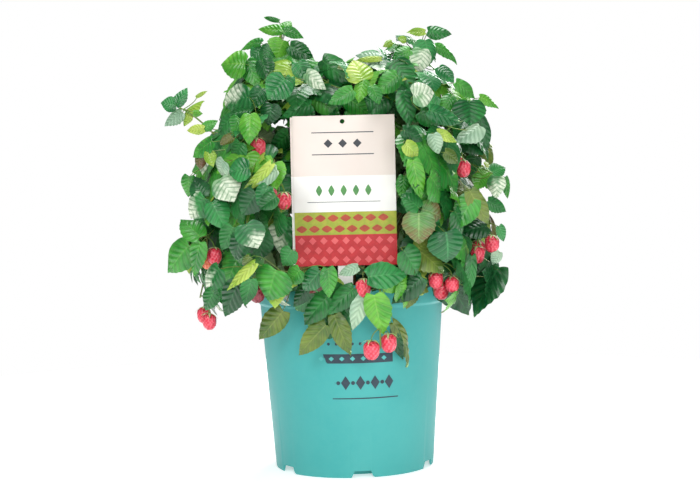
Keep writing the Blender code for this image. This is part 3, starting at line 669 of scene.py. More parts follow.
def grow_berries(mass, masses, stem, blocked):
    """The clusters whose fork lies in the mass's own space, each on a stalk from the stem."""
    seeded = random.Random(mass.name + " berries")
    clusters = []
    for azimuth, radius, height, count in BERRY_CLUSTERS:
        fork = around(azimuth, radius, height)
        if min(masses, key=lambda other: (other.centre - fork).length) is not mass:
            continue
        berries = hang_berries(fork, count, seeded)
        for root in sorted(stem[2:], key=lambda node: (node - fork).length):
            stalk = tube([root, fork], [STALK_RADIUS * 1.5] * 2, 3)
            if not blocked.overlap(tree_of([stalk])):
                clusters.append((root, fork, berries))
                break
    return clusters


# %% Leaves by trial: strewn places, then the best of them
def leaf_frame(place, mass, seeded):
    """Axis and normal of a leaf here: its face is turned out and up, and its tip hangs out and down."""
    out = (place - CROWN_HEART).normalized()
    normal = (out + UP * FACE_LIFT + stray(seeded, FACE_STRAY)).normalized()
    leading = (mass.tip - mass.centre).normalized()
    fall = outwards(place) * TIP_OUT - UP * TIP_DOWN + leading * TIP_ALONG + stray(seeded, TIP_STRAY)
    return square_to(fall, normal), normal


def stalk_shape(leaf, start=0.1, end=1.0):
    """A thin tube along part of a leaf's stalk, to test what it would cross."""
    line = [leaf.foot.lerp(leaf.joint, start), leaf.foot.lerp(leaf.joint, end)]
    return tube(line, [STALK_RADIUS * 1.5] * 2, 3)


def open_nodes(leaf, nodes, mass, masses, blocked):
    """The nodes of the stem that the leaf's stalk may leave from, near ones behind the leaf first."""
    heart = Vector((0.0, 0.0, leaf.joint.z))

    def cost(node):
        """The stalk's length, and more for a node that lies further out than the leaf."""
        backward = 0.5 * max(0.0, (node - heart).length - (leaf.joint - heart).length)
        return (leaf.joint - node).length + backward

    good = []
    for node in sorted(nodes, key=cost)[:NODES_TRIED]:
        leaf.foot = node
        stalk = leaf.joint - node
        if not SHORTEST_STALK < stalk.length < LONGEST_STALK or not leaf.stalk_fits():
            continue
        if blocked.overlap(tree_of([stalk_shape(leaf)])):
            continue
        if free([node + stalk * share for share in (0.25, 0.5, 0.75)], mass, masses):
            good.append(node)
    return good


def try_leaf(place, mass, masses, blocked, seeded):
    """The largest leaf that fits with its middle here, or None."""
    axis, normal = leaf_frame(place, mass, seeded)
    size = seeded.uniform(*SIZE_SPREAD)
    for scale in LEAF_SIZES:
        for sides in ((-1, 1), (-1,), (1,)):
            length = LEAF_LENGTH * size * scale
            leaf = Leaf(place - axis * JOINT_BACK * length, axis, normal, length, sides)
            points, faces = leaf.blade()
            if not free(points, mass, masses):
                continue
            if blocked.overlap(BVHTree.FromPolygons(points, faces)):
                continue
            return leaf
    return None


def try_places(mass, masses, nodes, blocked, seeded):
    """Leaves that would fit, at places strewn through the outer part of the mass."""
    found = []
    for attempt in range(PLACES_TRIED):
        reach = mass.reach * seeded.uniform(0.15, 1.0) ** 0.5
        direction = stray(seeded).normalized()
        place = mass.centre + direction * reach
        if attempt % 6 == 0:
            share = seeded.uniform(0.5, 1.1)
            place = mass.centre + (mass.tip - mass.centre) * share + direction * 0.02
        if not own_space(place, mass, masses) or inside_pot(place):
            continue
        leaf = try_leaf(place, mass, masses, blocked, seeded)
        if leaf is None:
            continue
        leaf.nodes = open_nodes(leaf, nodes, mass, masses, blocked)
        if leaf.nodes:
            found.append(leaf)
    return found


def middle(leaf):
    """The middle of the end leaflet."""
    return leaf.joint + leaf.axis * 0.4 * leaf.length


def worth(leaf, chosen):
    """More for a leaf that lies far from those chosen, and for one that is further out, larger or fuller."""
    apart = min((middle(leaf) - middle(other)).length for other in chosen) if chosen else 0.0
    outward = (middle(leaf) - CROWN_HEART).length + 0.3 * leaf.length
    return apart + 0.30 * outward + 0.25 * leaf.length + 0.004 * len(leaf.sides)


def crosses(tree, taken):
    """True where a shape's search tree touches one of those taken."""
    return any(tree.overlap(other) for other in taken)


def choose_leaves(found, count):
    """Chooses the leaf of most worth, time after time, with a node to itself and crossing no chosen one."""
    chosen = []
    taken = []
    rest = list(found)
    while rest and len(chosen) < count:
        best = max(rest, key=lambda leaf: worth(leaf, chosen))
        rest.remove(best)
        blade = BVHTree.FromPolygons(*best.blade())
        if crosses(blade, taken):
            continue
        used = [leaf.foot for leaf in chosen]
        for node in best.nodes:
            if node in used:
                continue
            best.foot = node
            stalk = BVHTree.FromPolygons(*stalk_shape(best, 0.12, 0.94))
            if not crosses(stalk, taken):
                chosen.append(best)
                taken.extend((blade, stalk))
                break
    return chosen


# %% [markdown]
# Leaves that show one by one
#
# On the side that faces the camera, the leaves that stand out are placed one by one: where the leaflet starts
# and ends in the picture, in pixels, and how wide it looks. The crown's surface gives the depth. The outline
# says where the crown ends against the sky, so that the grown leaves stay inside it.

# %% Outline and shown leaves
CROWN_OUTLINE = (
    (200, 122), (214, 118), (218, 100), (228, 80), (221, 66), (228, 58), (240, 64), (250, 53), (262, 46),
    (270, 40), (274, 32), (290, 30), (292, 38), (300, 46), (308, 56), (316, 61), (330, 57), (350, 52),
    (374, 52), (386, 44), (400, 38), (412, 29), (428, 27), (436, 38), (438, 50), (436, 60), (446, 68),
    (456, 76), (458, 86), (470, 94), (480, 103), (487, 116), (492, 132), (494, 150), (504, 162), (506, 178),
    (504, 206), (498, 222), (505, 242), (498, 252), (504, 272), (500, 294), (483, 310), (466, 317),
    (442, 316), (431, 303), (396, 304), (384, 328), (352, 320), (340, 344), (304, 342), (292, 318),
    (262, 301), (255, 289), (241, 306), (224, 316), (204, 309), (198, 292), (190, 278), (172, 272),
    (172, 252), (180, 220), (188, 212), (186, 200), (194, 176), (190, 162), (196, 150), (206, 138),
)

# Middle and radius, in pixels, of the gaps through which the background shows.
SKY_GAPS = (
    (447, 98, 4), (375, 81, 2), (446, 127, 3), (478, 157, 5), (472, 201, 3), (484, 193, 3), (211, 261, 4),
    (247, 56, 3), (256, 52, 3), (449, 62, 4), (456, 66, 3), (214, 108, 5), (221, 122, 2),
)

# Kind, start and end in pixels, width in pixels, share of the crown's radius, and how far it arches. The
# kind follows the green that each leaf shows: some leaves that lie in shade get the deep kind as painted
# shade, and the striped, edged and cream kinds put a painted highlight on glossy ones.
SHOWN_LEAVES = (
    ("emerald", 176, 106, 186, 86, 12), ("emerald", 176, 105, 160, 103, 15),
    ("silver", 182, 112, 163, 123, 13), ("young", 187, 111, 202, 99, 9), ("young", 196, 97, 206, 90, 4),
    ("young", 189, 112, 182, 126, 9), ("bright", 193, 113, 202, 114, 7), ("young", 204, 129, 185, 131, 10),
    ("mid", 203, 129, 216, 119, 10), ("bright", 282, 32, 291, 17, 12, 0.8),
    ("bright", 283, 30, 257, 28, 11, 0.8), ("mid", 279, 21, 261, 17, 5, 0.8),
    ("mid", 284, 31, 303, 37, 11, 0.8, 0.25), ("mid", 261, 43, 235, 52, 10, 0.85, -0.8),
    ("bright", 283, 40, 278, 57, 22, 0.9), ("forest", 290, 46, 311, 58, 17, 0.8),
    ("emerald", 262, 48, 249, 60, 15, 0.8), ("forest", 270, 45, 264, 62, 16, 0.85),
    ("bright", 245, 64, 219, 62, 27, 0.9), ("mid", 247, 60, 258, 85, 20, 0.88),
    ("striped", 249, 97, 217, 102, 29, 0.93), ("forest", 249, 110, 224, 114, 10, 0.9),
    ("emerald", 285, 79, 268, 97, 28, 0.95), ("striped", 291, 77, 285, 101, 12, 0.92),
    ("forest", 262, 60, 269, 80, 19, 0.85), ("emerald", 298, 62, 307, 82, 18, 0.8),
    ("cream", 306, 73, 323, 89, 15, 0.9), ("emerald", 311, 105, 280, 114, 17, 0.5),
    ("bright", 250, 114, 250, 142, 21), ("forest", 289, 134, 266, 152, 19, 0.5),
    ("mid", 212, 141, 188, 157, 16), ("bronze", 232, 137, 219, 147, 10), ("forest", 231, 118, 212, 134, 15),
    ("mid", 239, 118, 229, 135, 15), ("young", 208, 151, 212, 166, 12), ("silver", 224, 161, 215, 176, 17),
    ("bronze", 200, 155, 197, 172, 11), ("emerald", 249, 168, 225, 172, 23),
    ("cream", 221, 178, 233, 200, 31), ("young", 271, 164, 233, 196, 11, 1.0, 0.15),
    ("silver", 277, 170, 254, 184, 16), ("deep", 203, 197, 192, 175, 20),
    ("striped", 205, 198, 188, 218, 27), ("emerald", 212, 202, 225, 229, 25),
    ("deep", 256, 193, 240, 215, 25), ("emerald", 268, 186, 256, 206, 17),
    ("forest", 276, 196, 258, 210, 17), ("edged", 246, 224, 256, 249, 30),
    ("striped", 287, 217, 277, 254, 33, 0.6), ("mid", 200, 237, 180, 214, 22),
    ("mid", 189, 245, 163, 274, 28), ("mid", 200, 242, 191, 277, 17), ("striped", 219, 268, 203, 292, 21),
    ("young", 255, 263, 225, 290, 11), ("olive", 250, 257, 240, 268, 9),
    ("mid", 276, 270, 264, 300, 37, 0.93), ("forest", 292, 250, 279, 268, 19, 0.93),
    ("deep", 238, 283, 222, 317, 24), ("forest", 251, 279, 245, 306, 17),
    ("forest", 214, 290, 203, 313, 17), ("forest", 233, 227, 222, 251, 20),
    ("deep", 241, 236, 233, 263, 22), ("emerald", 320, 271, 298, 295, 20, 0.9),
    ("mid", 328, 268, 332, 299, 17, 0.93), ("maroon", 327, 281, 308, 294, 9, 0.85),
    ("silver", 358, 267, 337, 276, 11, 0.85), ("emerald", 368, 277, 411, 270, 26, 0.95),
    ("deep", 422, 277, 393, 303, 23, 0.85), ("olive", 283, 311, 258, 342, 23, 0.68),
    ("forest", 327, 297, 300, 325, 22, 0.75), ("olive", 326, 325, 295, 356, 21, 0.70),
    ("olive", 334, 315, 350, 357, 19, 0.72), ("forest", 354, 288, 326, 312, 20, 0.80),
    ("silver", 363, 295, 353, 330, 17, 0.80), ("bright", 374, 295, 381, 338, 26, 0.88),
    ("olive", 393, 323, 420, 372, 13, 0.70, 0.2), ("deep", 394, 328, 400, 365, 11, 0.68),
    ("deep", 308, 285, 293, 308, 16, 0.75), ("forest", 346, 299, 336, 323, 21, 0.72),
    ("bright", 413, 160, 421, 199, 17), ("mid", 430, 176, 452, 200, 25), ("mid", 473, 197, 457, 227, 25),
    ("flushed", 419, 213, 418, 244, 32), ("flushed", 422, 209, 448, 218, 24, 0.93),
    ("forest", 419, 208, 404, 192, 17), ("veined", 446, 232, 452, 266, 35),
    ("forest", 404, 250, 421, 277, 26, 0.9), ("deep", 487, 226, 461, 229, 19, 0.93),
    ("deep", 499, 267, 470, 311, 28), ("forest", 472, 256, 472, 300, 12, 0.95),
    ("deep", 444, 268, 467, 319, 40, 0.68), ("cream", 497, 176, 497, 199, 18),
    ("mid", 505, 177, 508, 200, 8), ("forest", 492, 172, 506, 164, 15), ("forest", 488, 201, 508, 211, 14),
    ("emerald", 499, 226, 507, 242, 10), ("olive", 470, 191, 489, 227, 18),
    ("silver", 500, 252, 495, 266, 11), ("forest", 455, 211, 471, 236, 19, 0.93),
    ("forest", 322, 60, 349, 85, 23, 0.95), ("young", 363, 80, 353, 57, 26),
    ("silver", 379, 57, 355, 52, 12, 0.9), ("young", 381, 59, 354, 58, 6, 0.93),
    ("mid", 398, 75, 377, 92, 20, 0.95), ("pleated", 394, 61, 413, 89, 26, 0.95),
    ("mid", 410, 50, 393, 57, 14, 0.9), ("cream", 422, 49, 421, 71, 21, 0.95),
    ("emerald", 425, 40, 431, 63, 22, 0.88), ("forest", 428, 31, 452, 33, 13, 0.8),
    ("mid", 436, 47, 461, 63, 11, 0.85, 0.45), ("young", 425, 32, 408, 31, 8, 0.8),
    ("young", 392, 42, 383, 46, 7, 0.8), ("young", 406, 40, 398, 38, 7, 0.8),
    ("emerald", 439, 67, 454, 81, 14, 0.9), ("mid", 456, 82, 479, 98, 13),
    ("bright", 480, 97, 500, 108, 9, 1.0, 0.2), ("pleated", 469, 101, 473, 124, 32),
    ("emerald", 429, 110, 466, 124, 17), ("cream", 413, 95, 436, 92, 24),
    ("pleated", 404, 91, 411, 125, 19, 0.85), ("silver", 480, 126, 457, 140, 19),
    ("deep", 480, 117, 492, 148, 14), ("deep", 403, 130, 427, 141, 15), ("young", 405, 144, 421, 157, 15),
    ("silver", 433, 134, 438, 156, 15), ("young", 437, 132, 458, 141, 10),
    ("olive", 445, 152, 463, 162, 13), ("mid", 353, 90, 330, 104, 16), ("bright", 363, 80, 358, 101, 15),
    ("mid", 372, 86, 381, 103, 13), ("emerald", 373, 99, 351, 112, 17, 0.45),
    ("forest", 341, 100, 317, 109, 15, 0.45), ("pleated", 424, 84, 410, 106, 20, 0.85),
    ("emerald", 436, 96, 421, 112, 17, 0.85), ("forest", 420, 112, 440, 128, 18, 0.88),
    ("mid", 452, 96, 442, 112, 15, 0.9), ("mid", 404, 176, 402, 200, 14, 0.7),
    ("forest", 240, 142, 232, 160, 18, 0.9), ("emerald", 262, 88, 250, 108, 18, 0.85),
    ("deep", 272, 104, 268, 126, 20, 0.8), ("forest", 280, 212, 268, 236, 20, 0.85),
    ("deep", 262, 232, 258, 262, 24, 0.85), ("mid", 300, 270, 284, 286, 18, 0.9),
    ("emerald", 312, 272, 318, 292, 16, 0.85), ("deep", 386, 268, 372, 292, 20, 0.8),
    ("mid", 189, 176, 186, 200, 16, 0.98), ("forest", 476, 156, 470, 178, 16, 0.8),
    ("mid", 346, 97, 370, 113, 20, 0.5), ("emerald", 388, 95, 368, 115, 22, 0.5),
    ("mid", 316, 97, 337, 114, 20, 0.5), ("forest", 300, 99, 314, 118, 18, 0.5),
    ("emerald", 398, 102, 390, 116, 14, 0.48),
)


def in_polygon(point, corners):
    """True inside a closed line: a ray to the right crosses its sides an odd number of times."""
    x, y = point
    inside = False
    for (x0, y0), (x1, y1) in zip(corners, corners[1:] + corners[:1]):
        if (y0 > y) != (y1 > y) and x < x0 + (y - y0) * (x1 - x0) / (y1 - y0):
            inside = not inside
    return inside


# High up, shown leaves are drawn back by this share, from this height on and over this span.
TOP_FROM = 0.42
TOP_SPAN = 0.06
TOP_PULL = 0.6
VIEW_STEPS = 8

# How far a shown leaf may lean along the sight, by its length, how it turns, and where it must stay seen.
DEPTH_LIMIT = 0.3
DEPTH_STRAY = 0.15
FACE_OUT = 0.35
SHOWN_STRAY = 0.25
SHOWN_LENGTH = 1.05
LEAST_OPEN = 0.55
SEEN_AT = ((0.15, 0), (0.4, 0), (0.65, 0), (0.88, 0), (0.35, 0.6), (0.35, -0.6))
GUARD_RADIUS = 0.003
GUARD_REACH = 0.22


def place_in_view(across, down, share):
    """Where the way through a pixel meets the crown at this share of its radius, or passes it nearest.

    High up, the place is drawn back towards the shoots, so that its stalk stays short.
    """
    way = sight(across, down)
    y = -CROWN_RADIUS * share
    for _ in range(VIEW_STEPS):
        place = EYE + way * ((y - EYE.y) / way.y)
        back = TOP_PULL * min(max((place.z - TOP_FROM) / TOP_SPAN, 0.0), 1.0)
        y = -math.sqrt(max((crown_radius(place) * share) ** 2 - place.x**2, 0.0)) * (1.0 - back)
    return place


class ShownLeaf:
    """A leaflet that the camera sees: its base, axis, normal, length and half width in metres."""

    def __init__(self, kind, x0, y0, x1, y1, wide, share=0.98, arch=0.0):
        seeded = random.Random(f"{kind} {x0} {y0}")
        self.kind = kind
        self.arch = arch
        self.base = place_in_view(x0, y0, share)
        tip = place_in_view(x1, y1, share)
        flat = EYE + (tip - EYE) * ((self.base.y - EYE.y) / (tip.y - EYE.y))
        reach = (flat - self.base).length
        depth = min(max(tip.y - flat.y, -DEPTH_LIMIT * reach), DEPTH_LIMIT * reach)
        depth = depth + seeded.uniform(-DEPTH_STRAY, DEPTH_STRAY) * reach
        tip = flat + (flat - EYE).normalized() * depth
        chord = tip - self.base
        shift = stray(seeded, SHOWN_STRAY)
        normal = (EYE - self.base).normalized() + outwards(self.base) * FACE_OUT + UP * FACE_LIFT + shift
        self.normal = (normal - chord * normal.dot(chord) / chord.length_squared).normalized()
        beside = chord.normalized().cross(self.normal)
        self.axis = (chord.normalized() - beside * arch).normalized()
        self.length = SHOWN_LENGTH * chord.length / math.sqrt(1.0 + arch**2)
        view = (self.base - EYE).normalized()
        open_share = max((beside - view * beside.dot(view)).length, LEAST_OPEN)
        self.half = 0.5 * wide * (self.base - EYE).length / FOCAL_PIXELS / open_share
        self.seen = [self.base.lerp(tip, part) + beside * self.half * aside for part, aside in SEEN_AT]


def sight_guards():
    """Tubes that grown leaves stay out of: from shown leaves to the camera, and right through sky gaps."""
    guards = []
    for leaf in shown_leaves:
        for place in leaf.seen:
            way = (EYE - place).normalized()
            line = [place + way * GUARD_RADIUS, place + way * GUARD_REACH]
            guards.append(tube(line, [GUARD_RADIUS] * 2, 3))
    for across, down, reach in SKY_GAPS:
        way = sight(across, down).normalized()
        near, far = CAMERA_PLACE[1] + CROWN_RADIUS, CAMERA_PLACE[1] - CROWN_RADIUS
        radius = reach * -CAMERA_PLACE[1] / FOCAL_PIXELS
        guards.append(tube([EYE - way * near, EYE - way * far], [radius] * 2, 6))
    return guards


shown_leaves = [ShownLeaf(*row) for row in SHOWN_LEAVES]
sight_lines = tree_of(sight_guards())
print("shown leaves:", len(shown_leaves))

# %% [markdown]
# Finer growth
#
# The solids stop at twelve large leaves a mass, which keeps them light. The real bush has several times as
# many small leaves between those. They come from the same rule with smaller sizes, tried in the places that
# the large leaves leave open, and their twigs leave from the stem or from a large leaf's stalk.

# %% Grow the bush
FINE_LEAVES = 60
FINE_PLACES = 1200
FINE_SIZES = (0.92, 0.80, 0.66, 0.54)
FINE_SHARES = (0.04, 0.12, 0.27, 0.34, 0.50, 0.58, 0.74, 0.80, 0.95)
TWIG_SHARES = (0.25, 0.45, 0.65)
FINE_TURN = 0.8
FINE_BLADE = 0.6
STEM_ENDS = {"low_front_left": 0.206, "low_front_right": 0.212}
OUTLINE_MIDDLE = (345, 190)
UNDERSIDE_MARGIN = 1.14
FINE_DROOP = 0.35
END_SEEN = 0.88
SIDE_SEEN = 0.74


def fine_frame(place, mass, seeded):
    """A frame as for a large leaf, but turned to either side, so that the crown is full from all round."""
    axis, normal = leaf_frame(place, mass, seeded)
    beside = UP.cross(outwards(place))
    normal = (normal + beside * seeded.uniform(-FINE_TURN, FINE_TURN)).normalized()
    return square_to(axis - UP * FINE_DROOP, normal), normal


def fine_free(points, mass):
    """True within the mass's reach and the seen outline, and out of the pot and the label's window."""
    return all(within_reach(point, mass) and not inside_pot(point) and not in_label_window(point)
               for point in points)


def within_outline(leaf):
    """True where the camera sees the middle and the end of each leaflet inside the crown's outline.

    A leaf that turns its underside to the camera has to lie further in than the others.
    """
    places = [middle(leaf), leaf.joint + leaf.axis * END_SEEN * leaf.length]
    for side in leaf.sides:
        places.append(leaf.joint + leaf.way(side * SIDE_LEAFLET_ANGLE) * SIDE_SEEN * leaf.length)
    margin = UNDERSIDE_MARGIN if leaf.normal.dot(EYE - leaf.joint) < 0.0 else 1.0
    for place in places:
        seen = pixel_of(place)
        if margin > 1.0:
            seen = [mid + margin * (at - mid) for at, mid in zip(seen, OUTLINE_MIDDLE)]
        if not in_polygon(seen, CROWN_OUTLINE):
            return False
    return True


def try_fine(mass, nodes, blocked, seeded):
    """Smaller leaves that would fit, each with the nodes that its twig may leave from."""
    found = []
    for _ in range(FINE_PLACES):
        direction = stray(seeded).normalized()
        place = mass.centre + direction * mass.reach * seeded.uniform(0.1, 1.0) ** 0.45
        if inside_pot(place) or in_label_window(place):
            continue
        axis, normal = fine_frame(place, mass, seeded)
        size = seeded.uniform(*SIZE_SPREAD)
        for scale in FINE_SIZES:
            length = LEAF_LENGTH * size * scale
            leaf = Leaf(place - axis * JOINT_BACK * length, axis, normal, length, (-1, 1))
            points, faces = leaf.blade()
            if not fine_free(points, mass) or not within_outline(leaf):
                continue
            blade = BVHTree.FromPolygons(points, faces)
            if not blocked.overlap(blade) and not sight_lines.overlap(blade):
                leaf.nodes = fine_nodes(leaf, nodes, blocked)
                if leaf.nodes:
                    found.append(leaf)
                break
    return found


def fine_nodes(leaf, nodes, blocked):
    """The nearest nodes that the leaf's twig can reach without crossing a cane, the pot or a berry."""
    good = []
    for node in sorted(nodes, key=lambda node: (leaf.joint - node).length)[:NODES_TRIED]:
        leaf.foot = node
        if (leaf.joint - node).length < SHORTEST_STALK or not leaf.stalk_fits():
            continue
        if not blocked.overlap(tree_of([stalk_shape(leaf)])):
            good.append(node)
    return good


def small_blade(leaf):
    """A search tree over the middle of a leaf, so that only leaves that cross deeply are passed over."""
    whole = leaf.length
    leaf.length = whole * FINE_BLADE
    tree = BVHTree.FromPolygons(*leaf.blade())
    leaf.length = whole
    return tree


def choose_fine(found, count, leaves, taken):
    """Adds the fine leaves of most worth, which may share a node but mustn't cut deep into another leaf."""
    rest = list(found)
    wanted = len(leaves) + count
    while rest and len(leaves) < wanted:
        best = max(rest, key=lambda leaf: worth(leaf, leaves))
        rest.remove(best)
        blade = small_blade(best)
        if not crosses(blade, taken):
            best.foot = best.nodes[0]
            leaves.append(best)
            taken.append(blade)
    return leaves


def grow_mass(mass, masses, cane, fixed):
    """One mass: its stem, its berries, the leaves of the solids and the finer leaves between them."""
    seeded = random.Random(mass.name + " leaves")
    stem = stem_line(mass, cane)
    clusters = grow_berries(mass, masses, stem, tree_of(fixed))
    near = list(fixed)
    for _, _, berries in clusters:
        near.extend(berry_shape(berry) for berry in berries)
        near.extend(view_guard(berry) for berry in berries)
    blocked = tree_of(near)

    def nodes_at(shares):
        """Places along the stem, at these shares of each of its steps."""
        return [a.lerp(b, share) for a, b in zip(stem[1:], stem[2:]) for share in shares]

    found = try_places(mass, masses, nodes_at(NODE_SHARES), blocked, seeded)
    ends_at = STEM_ENDS.get(mass.name, 0.0)
    leaves = []
    for leaf in choose_leaves(found, LEAVES_PER_MASS):
        hides = sight_lines.overlap(BVHTree.FromPolygons(*leaf.blade()))
        if within_outline(leaf) and not hides and leaf.foot.z > ends_at:
            leaves.append(leaf)
    large = len(leaves)
    seeded = random.Random(mass.name + " finer leaves")
    nodes = nodes_at(FINE_SHARES)
    nodes += [leaf.foot.lerp(leaf.joint, share) for leaf in leaves for share in TWIG_SHARES]
    nodes = [node for node in nodes if node.z > ends_at]
    taken = [small_blade(leaf) for leaf in leaves]
    leaves = choose_fine(try_fine(mass, nodes, blocked, seeded), FINE_LEAVES, leaves, taken)
    return {"mass": mass, "cane": cane, "stem": stem, "leaves": leaves, "large": large, "clusters": clusters}


def grow_bush():
    """Every mass in turn, in the order of the list."""
    masses = [Mass(*place) for place in MASS_PLACES]
    canes = [cane_line(mass) for mass in masses]
    fixed = [pot_guard(), *label_guards()]
    for line in canes:
        fixed.append(tube(line, [radius + LEAF_CLEARANCE for radius in cane_radii(line)], 6))
    return [grow_mass(mass, masses, cane, fixed) for mass, cane in zip(masses, canes)]


grown = grow_bush()
print("large leaves:", sum(one["large"] for one in grown))
print("all leaves:", sum(len(one["leaves"]) for one in grown))

# %% [markdown]
# Paints and shared effects
#
# A shader node group is a small machine that several materials share. Here one gives a mottled colour, one
# draws the veins of a leaf, one gives fine relief, and one the mask of a painted sheen, a pale highlight
# painted on the ridges between veins. A group only puts out colours and values that change over the surface.
# The shader itself stays in each material, with its constant numbers on its own sockets.


# %% Colours and the mottling group
def paint(red, green, blue):
    """A screen colour from 0 to 255 as a shader's linear one: a straight start, then a power of 2.4."""
    return tuple((part / 255 / 12.92) if part < 10 else ((part / 255 + 0.055) / 1.055) ** 2.4
                 for part in (red, green, blue)) + (1.0,)


SOCKET_KINDS = {"Colour": "Color", "Second colour": "Color", "Pattern": "Vector"}


def new_group(name, inputs, outputs):
    """An empty node group with named sockets: its inputs with their values, and its outputs."""
    group = bpy.data.node_groups.new(name, "ShaderNodeTree")
    for side, key in [("INPUT", key) for key in inputs] + [("OUTPUT", key) for key in outputs]:
        kind = "NodeSocket" + SOCKET_KINDS.get(key, "Float")
        socket = group.interface.new_socket(key, in_out=side, socket_type=kind)
        if side == "INPUT" and inputs[key] is not None:
            socket.default_value = inputs[key]
    given = group.nodes.new("NodeGroupInput").outputs
    return group, given, group.nodes.new("NodeGroupOutput").inputs


def feed(tree, socket, value):
    """Links another socket to this one, or sets this one to a value."""
    if isinstance(value, bpy.types.NodeSocket):
        tree.links.new(value, socket)
    else:
        socket.default_value = value


def add_node(tree, kind, settings=(), **links):
    """A node with its settings, each named input either linked to a socket or set to a value."""
    node = tree.nodes.new("ShaderNode" + kind)
    for key, value in dict(settings).items():
        setattr(node, key, value)
    for key, value in links.items():
        numbered = key[0] == "i" and key[1:].isdigit()
        feed(tree, node.inputs[int(key[1:]) if numbered else key], value)
    return node


def math_node(tree, operation, *values):
    """One arithmetic step."""
    inputs = {f"i{index}": value for index, value in enumerate(values)}
    return add_node(tree, "Math", {"operation": operation}, **inputs).outputs[0]


def times(tree, first, second):
    """The product of two values."""
    return math_node(tree, "MULTIPLY", first, second)


def plus(tree, first, second):
    """The sum of two values."""
    return math_node(tree, "ADD", first, second)


def ramp(tree, value, start, end, low=0.0, high=1.0, soft=True):
    """A value between start and end carried to low and high, with soft ends or in a straight line."""
    settings = {"interpolation_type": "SMOOTHSTEP"} if soft else {}
    return add_node(tree, "MapRange", settings, i0=value, i1=start, i2=end, i3=low, i4=high).outputs[0]


def mix_colours(tree, share, first, second, blend="MIX"):
    """Two colours mixed by a share."""
    node = add_node(tree, "Mix", {"data_type": "RGBA", "blend_type": blend}, i0=share, i6=first, i7=second)
    return node.outputs[2]


def make_mottle():
    """Mottle: noise on object coordinates shifts a colour towards a second one, and gives its value."""
    inputs = {"Colour": None, "Second colour": None, "Scale": 30.0, "Amount": 0.5, "Detail": 3.0}
    group, given, out = new_group("mottle", inputs, ["Colour", "Value"])
    place = add_node(group, "TexCoord").outputs["Object"]
    noise = add_node(group, "TexNoise", Vector=place, Scale=given["Scale"], Detail=given["Detail"],
                     Roughness=0.6).outputs["Fac"]
    spread = ramp(group, noise, 0.34, 0.66)
    share = times(group, spread, given["Amount"])
    feed(group, out["Colour"], mix_colours(group, share, given["Colour"], given["Second colour"]))
    feed(group, out["Value"], spread)
    return group


def make_veins():
    """Veins: lines at whole numbers of the along coordinate, and the midrib where across is a half."""
    inputs = {"Pattern": None, "Count": 7.0, "Width": 0.10, "Midrib": 0.05}
    group, given, out = new_group("leaf veins", inputs, ["Mask", "Quilting"])
    parts = add_node(group, "SeparateXYZ", Vector=given["Pattern"]).outputs
    across = math_node(group, "ABSOLUTE", math_node(group, "SUBTRACT", parts["X"], 0.5))
    apart = math_node(group, "PINGPONG", times(group, parts["Y"], given["Count"]), 0.5)
    side = ramp(group, apart, given["Width"], 0.0)
    rib = ramp(group, across, given["Midrib"], 0.0)
    feed(group, out["Mask"], math_node(group, "MAXIMUM", times(group, side, 0.8), rib))
    feed(group, out["Quilting"], times(group, apart, 2.0))
    return group


def make_relief():
    """Relief: fine cells and a soft noise on object coordinates, as one height."""
    group, given, out = new_group("fine relief", {"Scale": 900.0, "Cells": 0.5}, ["Height"])
    place = add_node(group, "TexCoord").outputs["Object"]
    cells = add_node(group, "TexVoronoi", {"feature": "SMOOTH_F1"}, Vector=place, Scale=given["Scale"])
    soft = add_node(group, "TexNoise", Vector=place, Scale=times(group, given["Scale"], 0.3), Detail=2.0)
    share = times(group, cells.outputs["Distance"], given["Cells"])
    feed(group, out["Height"], plus(group, share, soft.outputs["Fac"]))
    return group


def make_sheen():
    """Painted sheen: a highlight painted on the ridges between veins, from a start along the leaf on, more on
    one side, broken by noise. The margin's flush uses the same mask.
    """
    inputs = {"Pattern": None, "Quilting": 1.0, "Start": 0.4, "Lean": 0.5, "Outward": 0.0}
    group, given, out = new_group("leaf sheen", inputs, ["Mask"])
    parts = add_node(group, "SeparateXYZ", Vector=given["Pattern"]).outputs
    place = add_node(group, "TexCoord").outputs["Object"]
    noise = add_node(group, "TexNoise", Vector=place, Scale=85.0, Detail=2.0).outputs["Fac"]
    aside = math_node(group, "SUBTRACT", parts["X"], 0.5)
    far = times(group, math_node(group, "ABSOLUTE", aside), given["Outward"])
    reach = plus(group, plus(group, parts["Y"], times(group, aside, given["Lean"])), far)
    reach = plus(group, reach, times(group, noise, 1.2))
    reach = ramp(group, math_node(group, "SUBTRACT", reach, given["Start"]), 0.05, 0.50)
    ridge = ramp(group, given["Quilting"], 0.0, 0.55, 0.35, 1.0)
    patchy = add_node(group, "TexNoise", Vector=place, Scale=260.0, Detail=2.0).outputs["Fac"]
    ridge = times(group, ridge, ramp(group, patchy, 0.30, 0.62, 0.45, 0.92, soft=False))
    feed(group, out["Mask"], times(group, reach, ridge))
    return group


GROUPS = {"mottle": make_mottle(), "veins": make_veins(), "relief": make_relief(), "sheen": make_sheen()}
print("shared effects:", [group.name for group in GROUPS.values()])


# %% A material from those effects
def use_group(tree, name, **links):
    """A placed copy of a shared effect, with its own values."""
    node = tree.nodes.new("ShaderNodeGroup")
    node.node_tree = GROUPS[name]
    for key, value in links.items():
        feed(tree, node.inputs[key.replace("_", " ")], value)
    return node.outputs


def new_material(name, roughness=0.5, coat=0.0, coat_roughness=0.3, specular=0.5, subsurface=0.0):
    """A material with an empty tree but for its shader, and the shader's constant numbers set."""
    made = bpy.data.materials.new(name)
    made.use_nodes = True
    shader = made.node_tree.nodes["Principled BSDF"]
    values = {"Roughness": roughness, "Specular IOR Level": specular, "Coat Weight": coat,
              "Coat Roughness": coat_roughness, "Subsurface Weight": subsurface}
    for socket, value in values.items():
        shader.inputs[socket].default_value = value
    return made, made.node_tree, shader


def add_bump(tree, shader, height, strength, distance):
    """Relief in the shading alone, from a height."""
    bump = add_node(tree, "Bump", Strength=strength, Distance=distance, Height=height)
    feed(tree, shader.inputs["Normal"], bump.outputs[0])


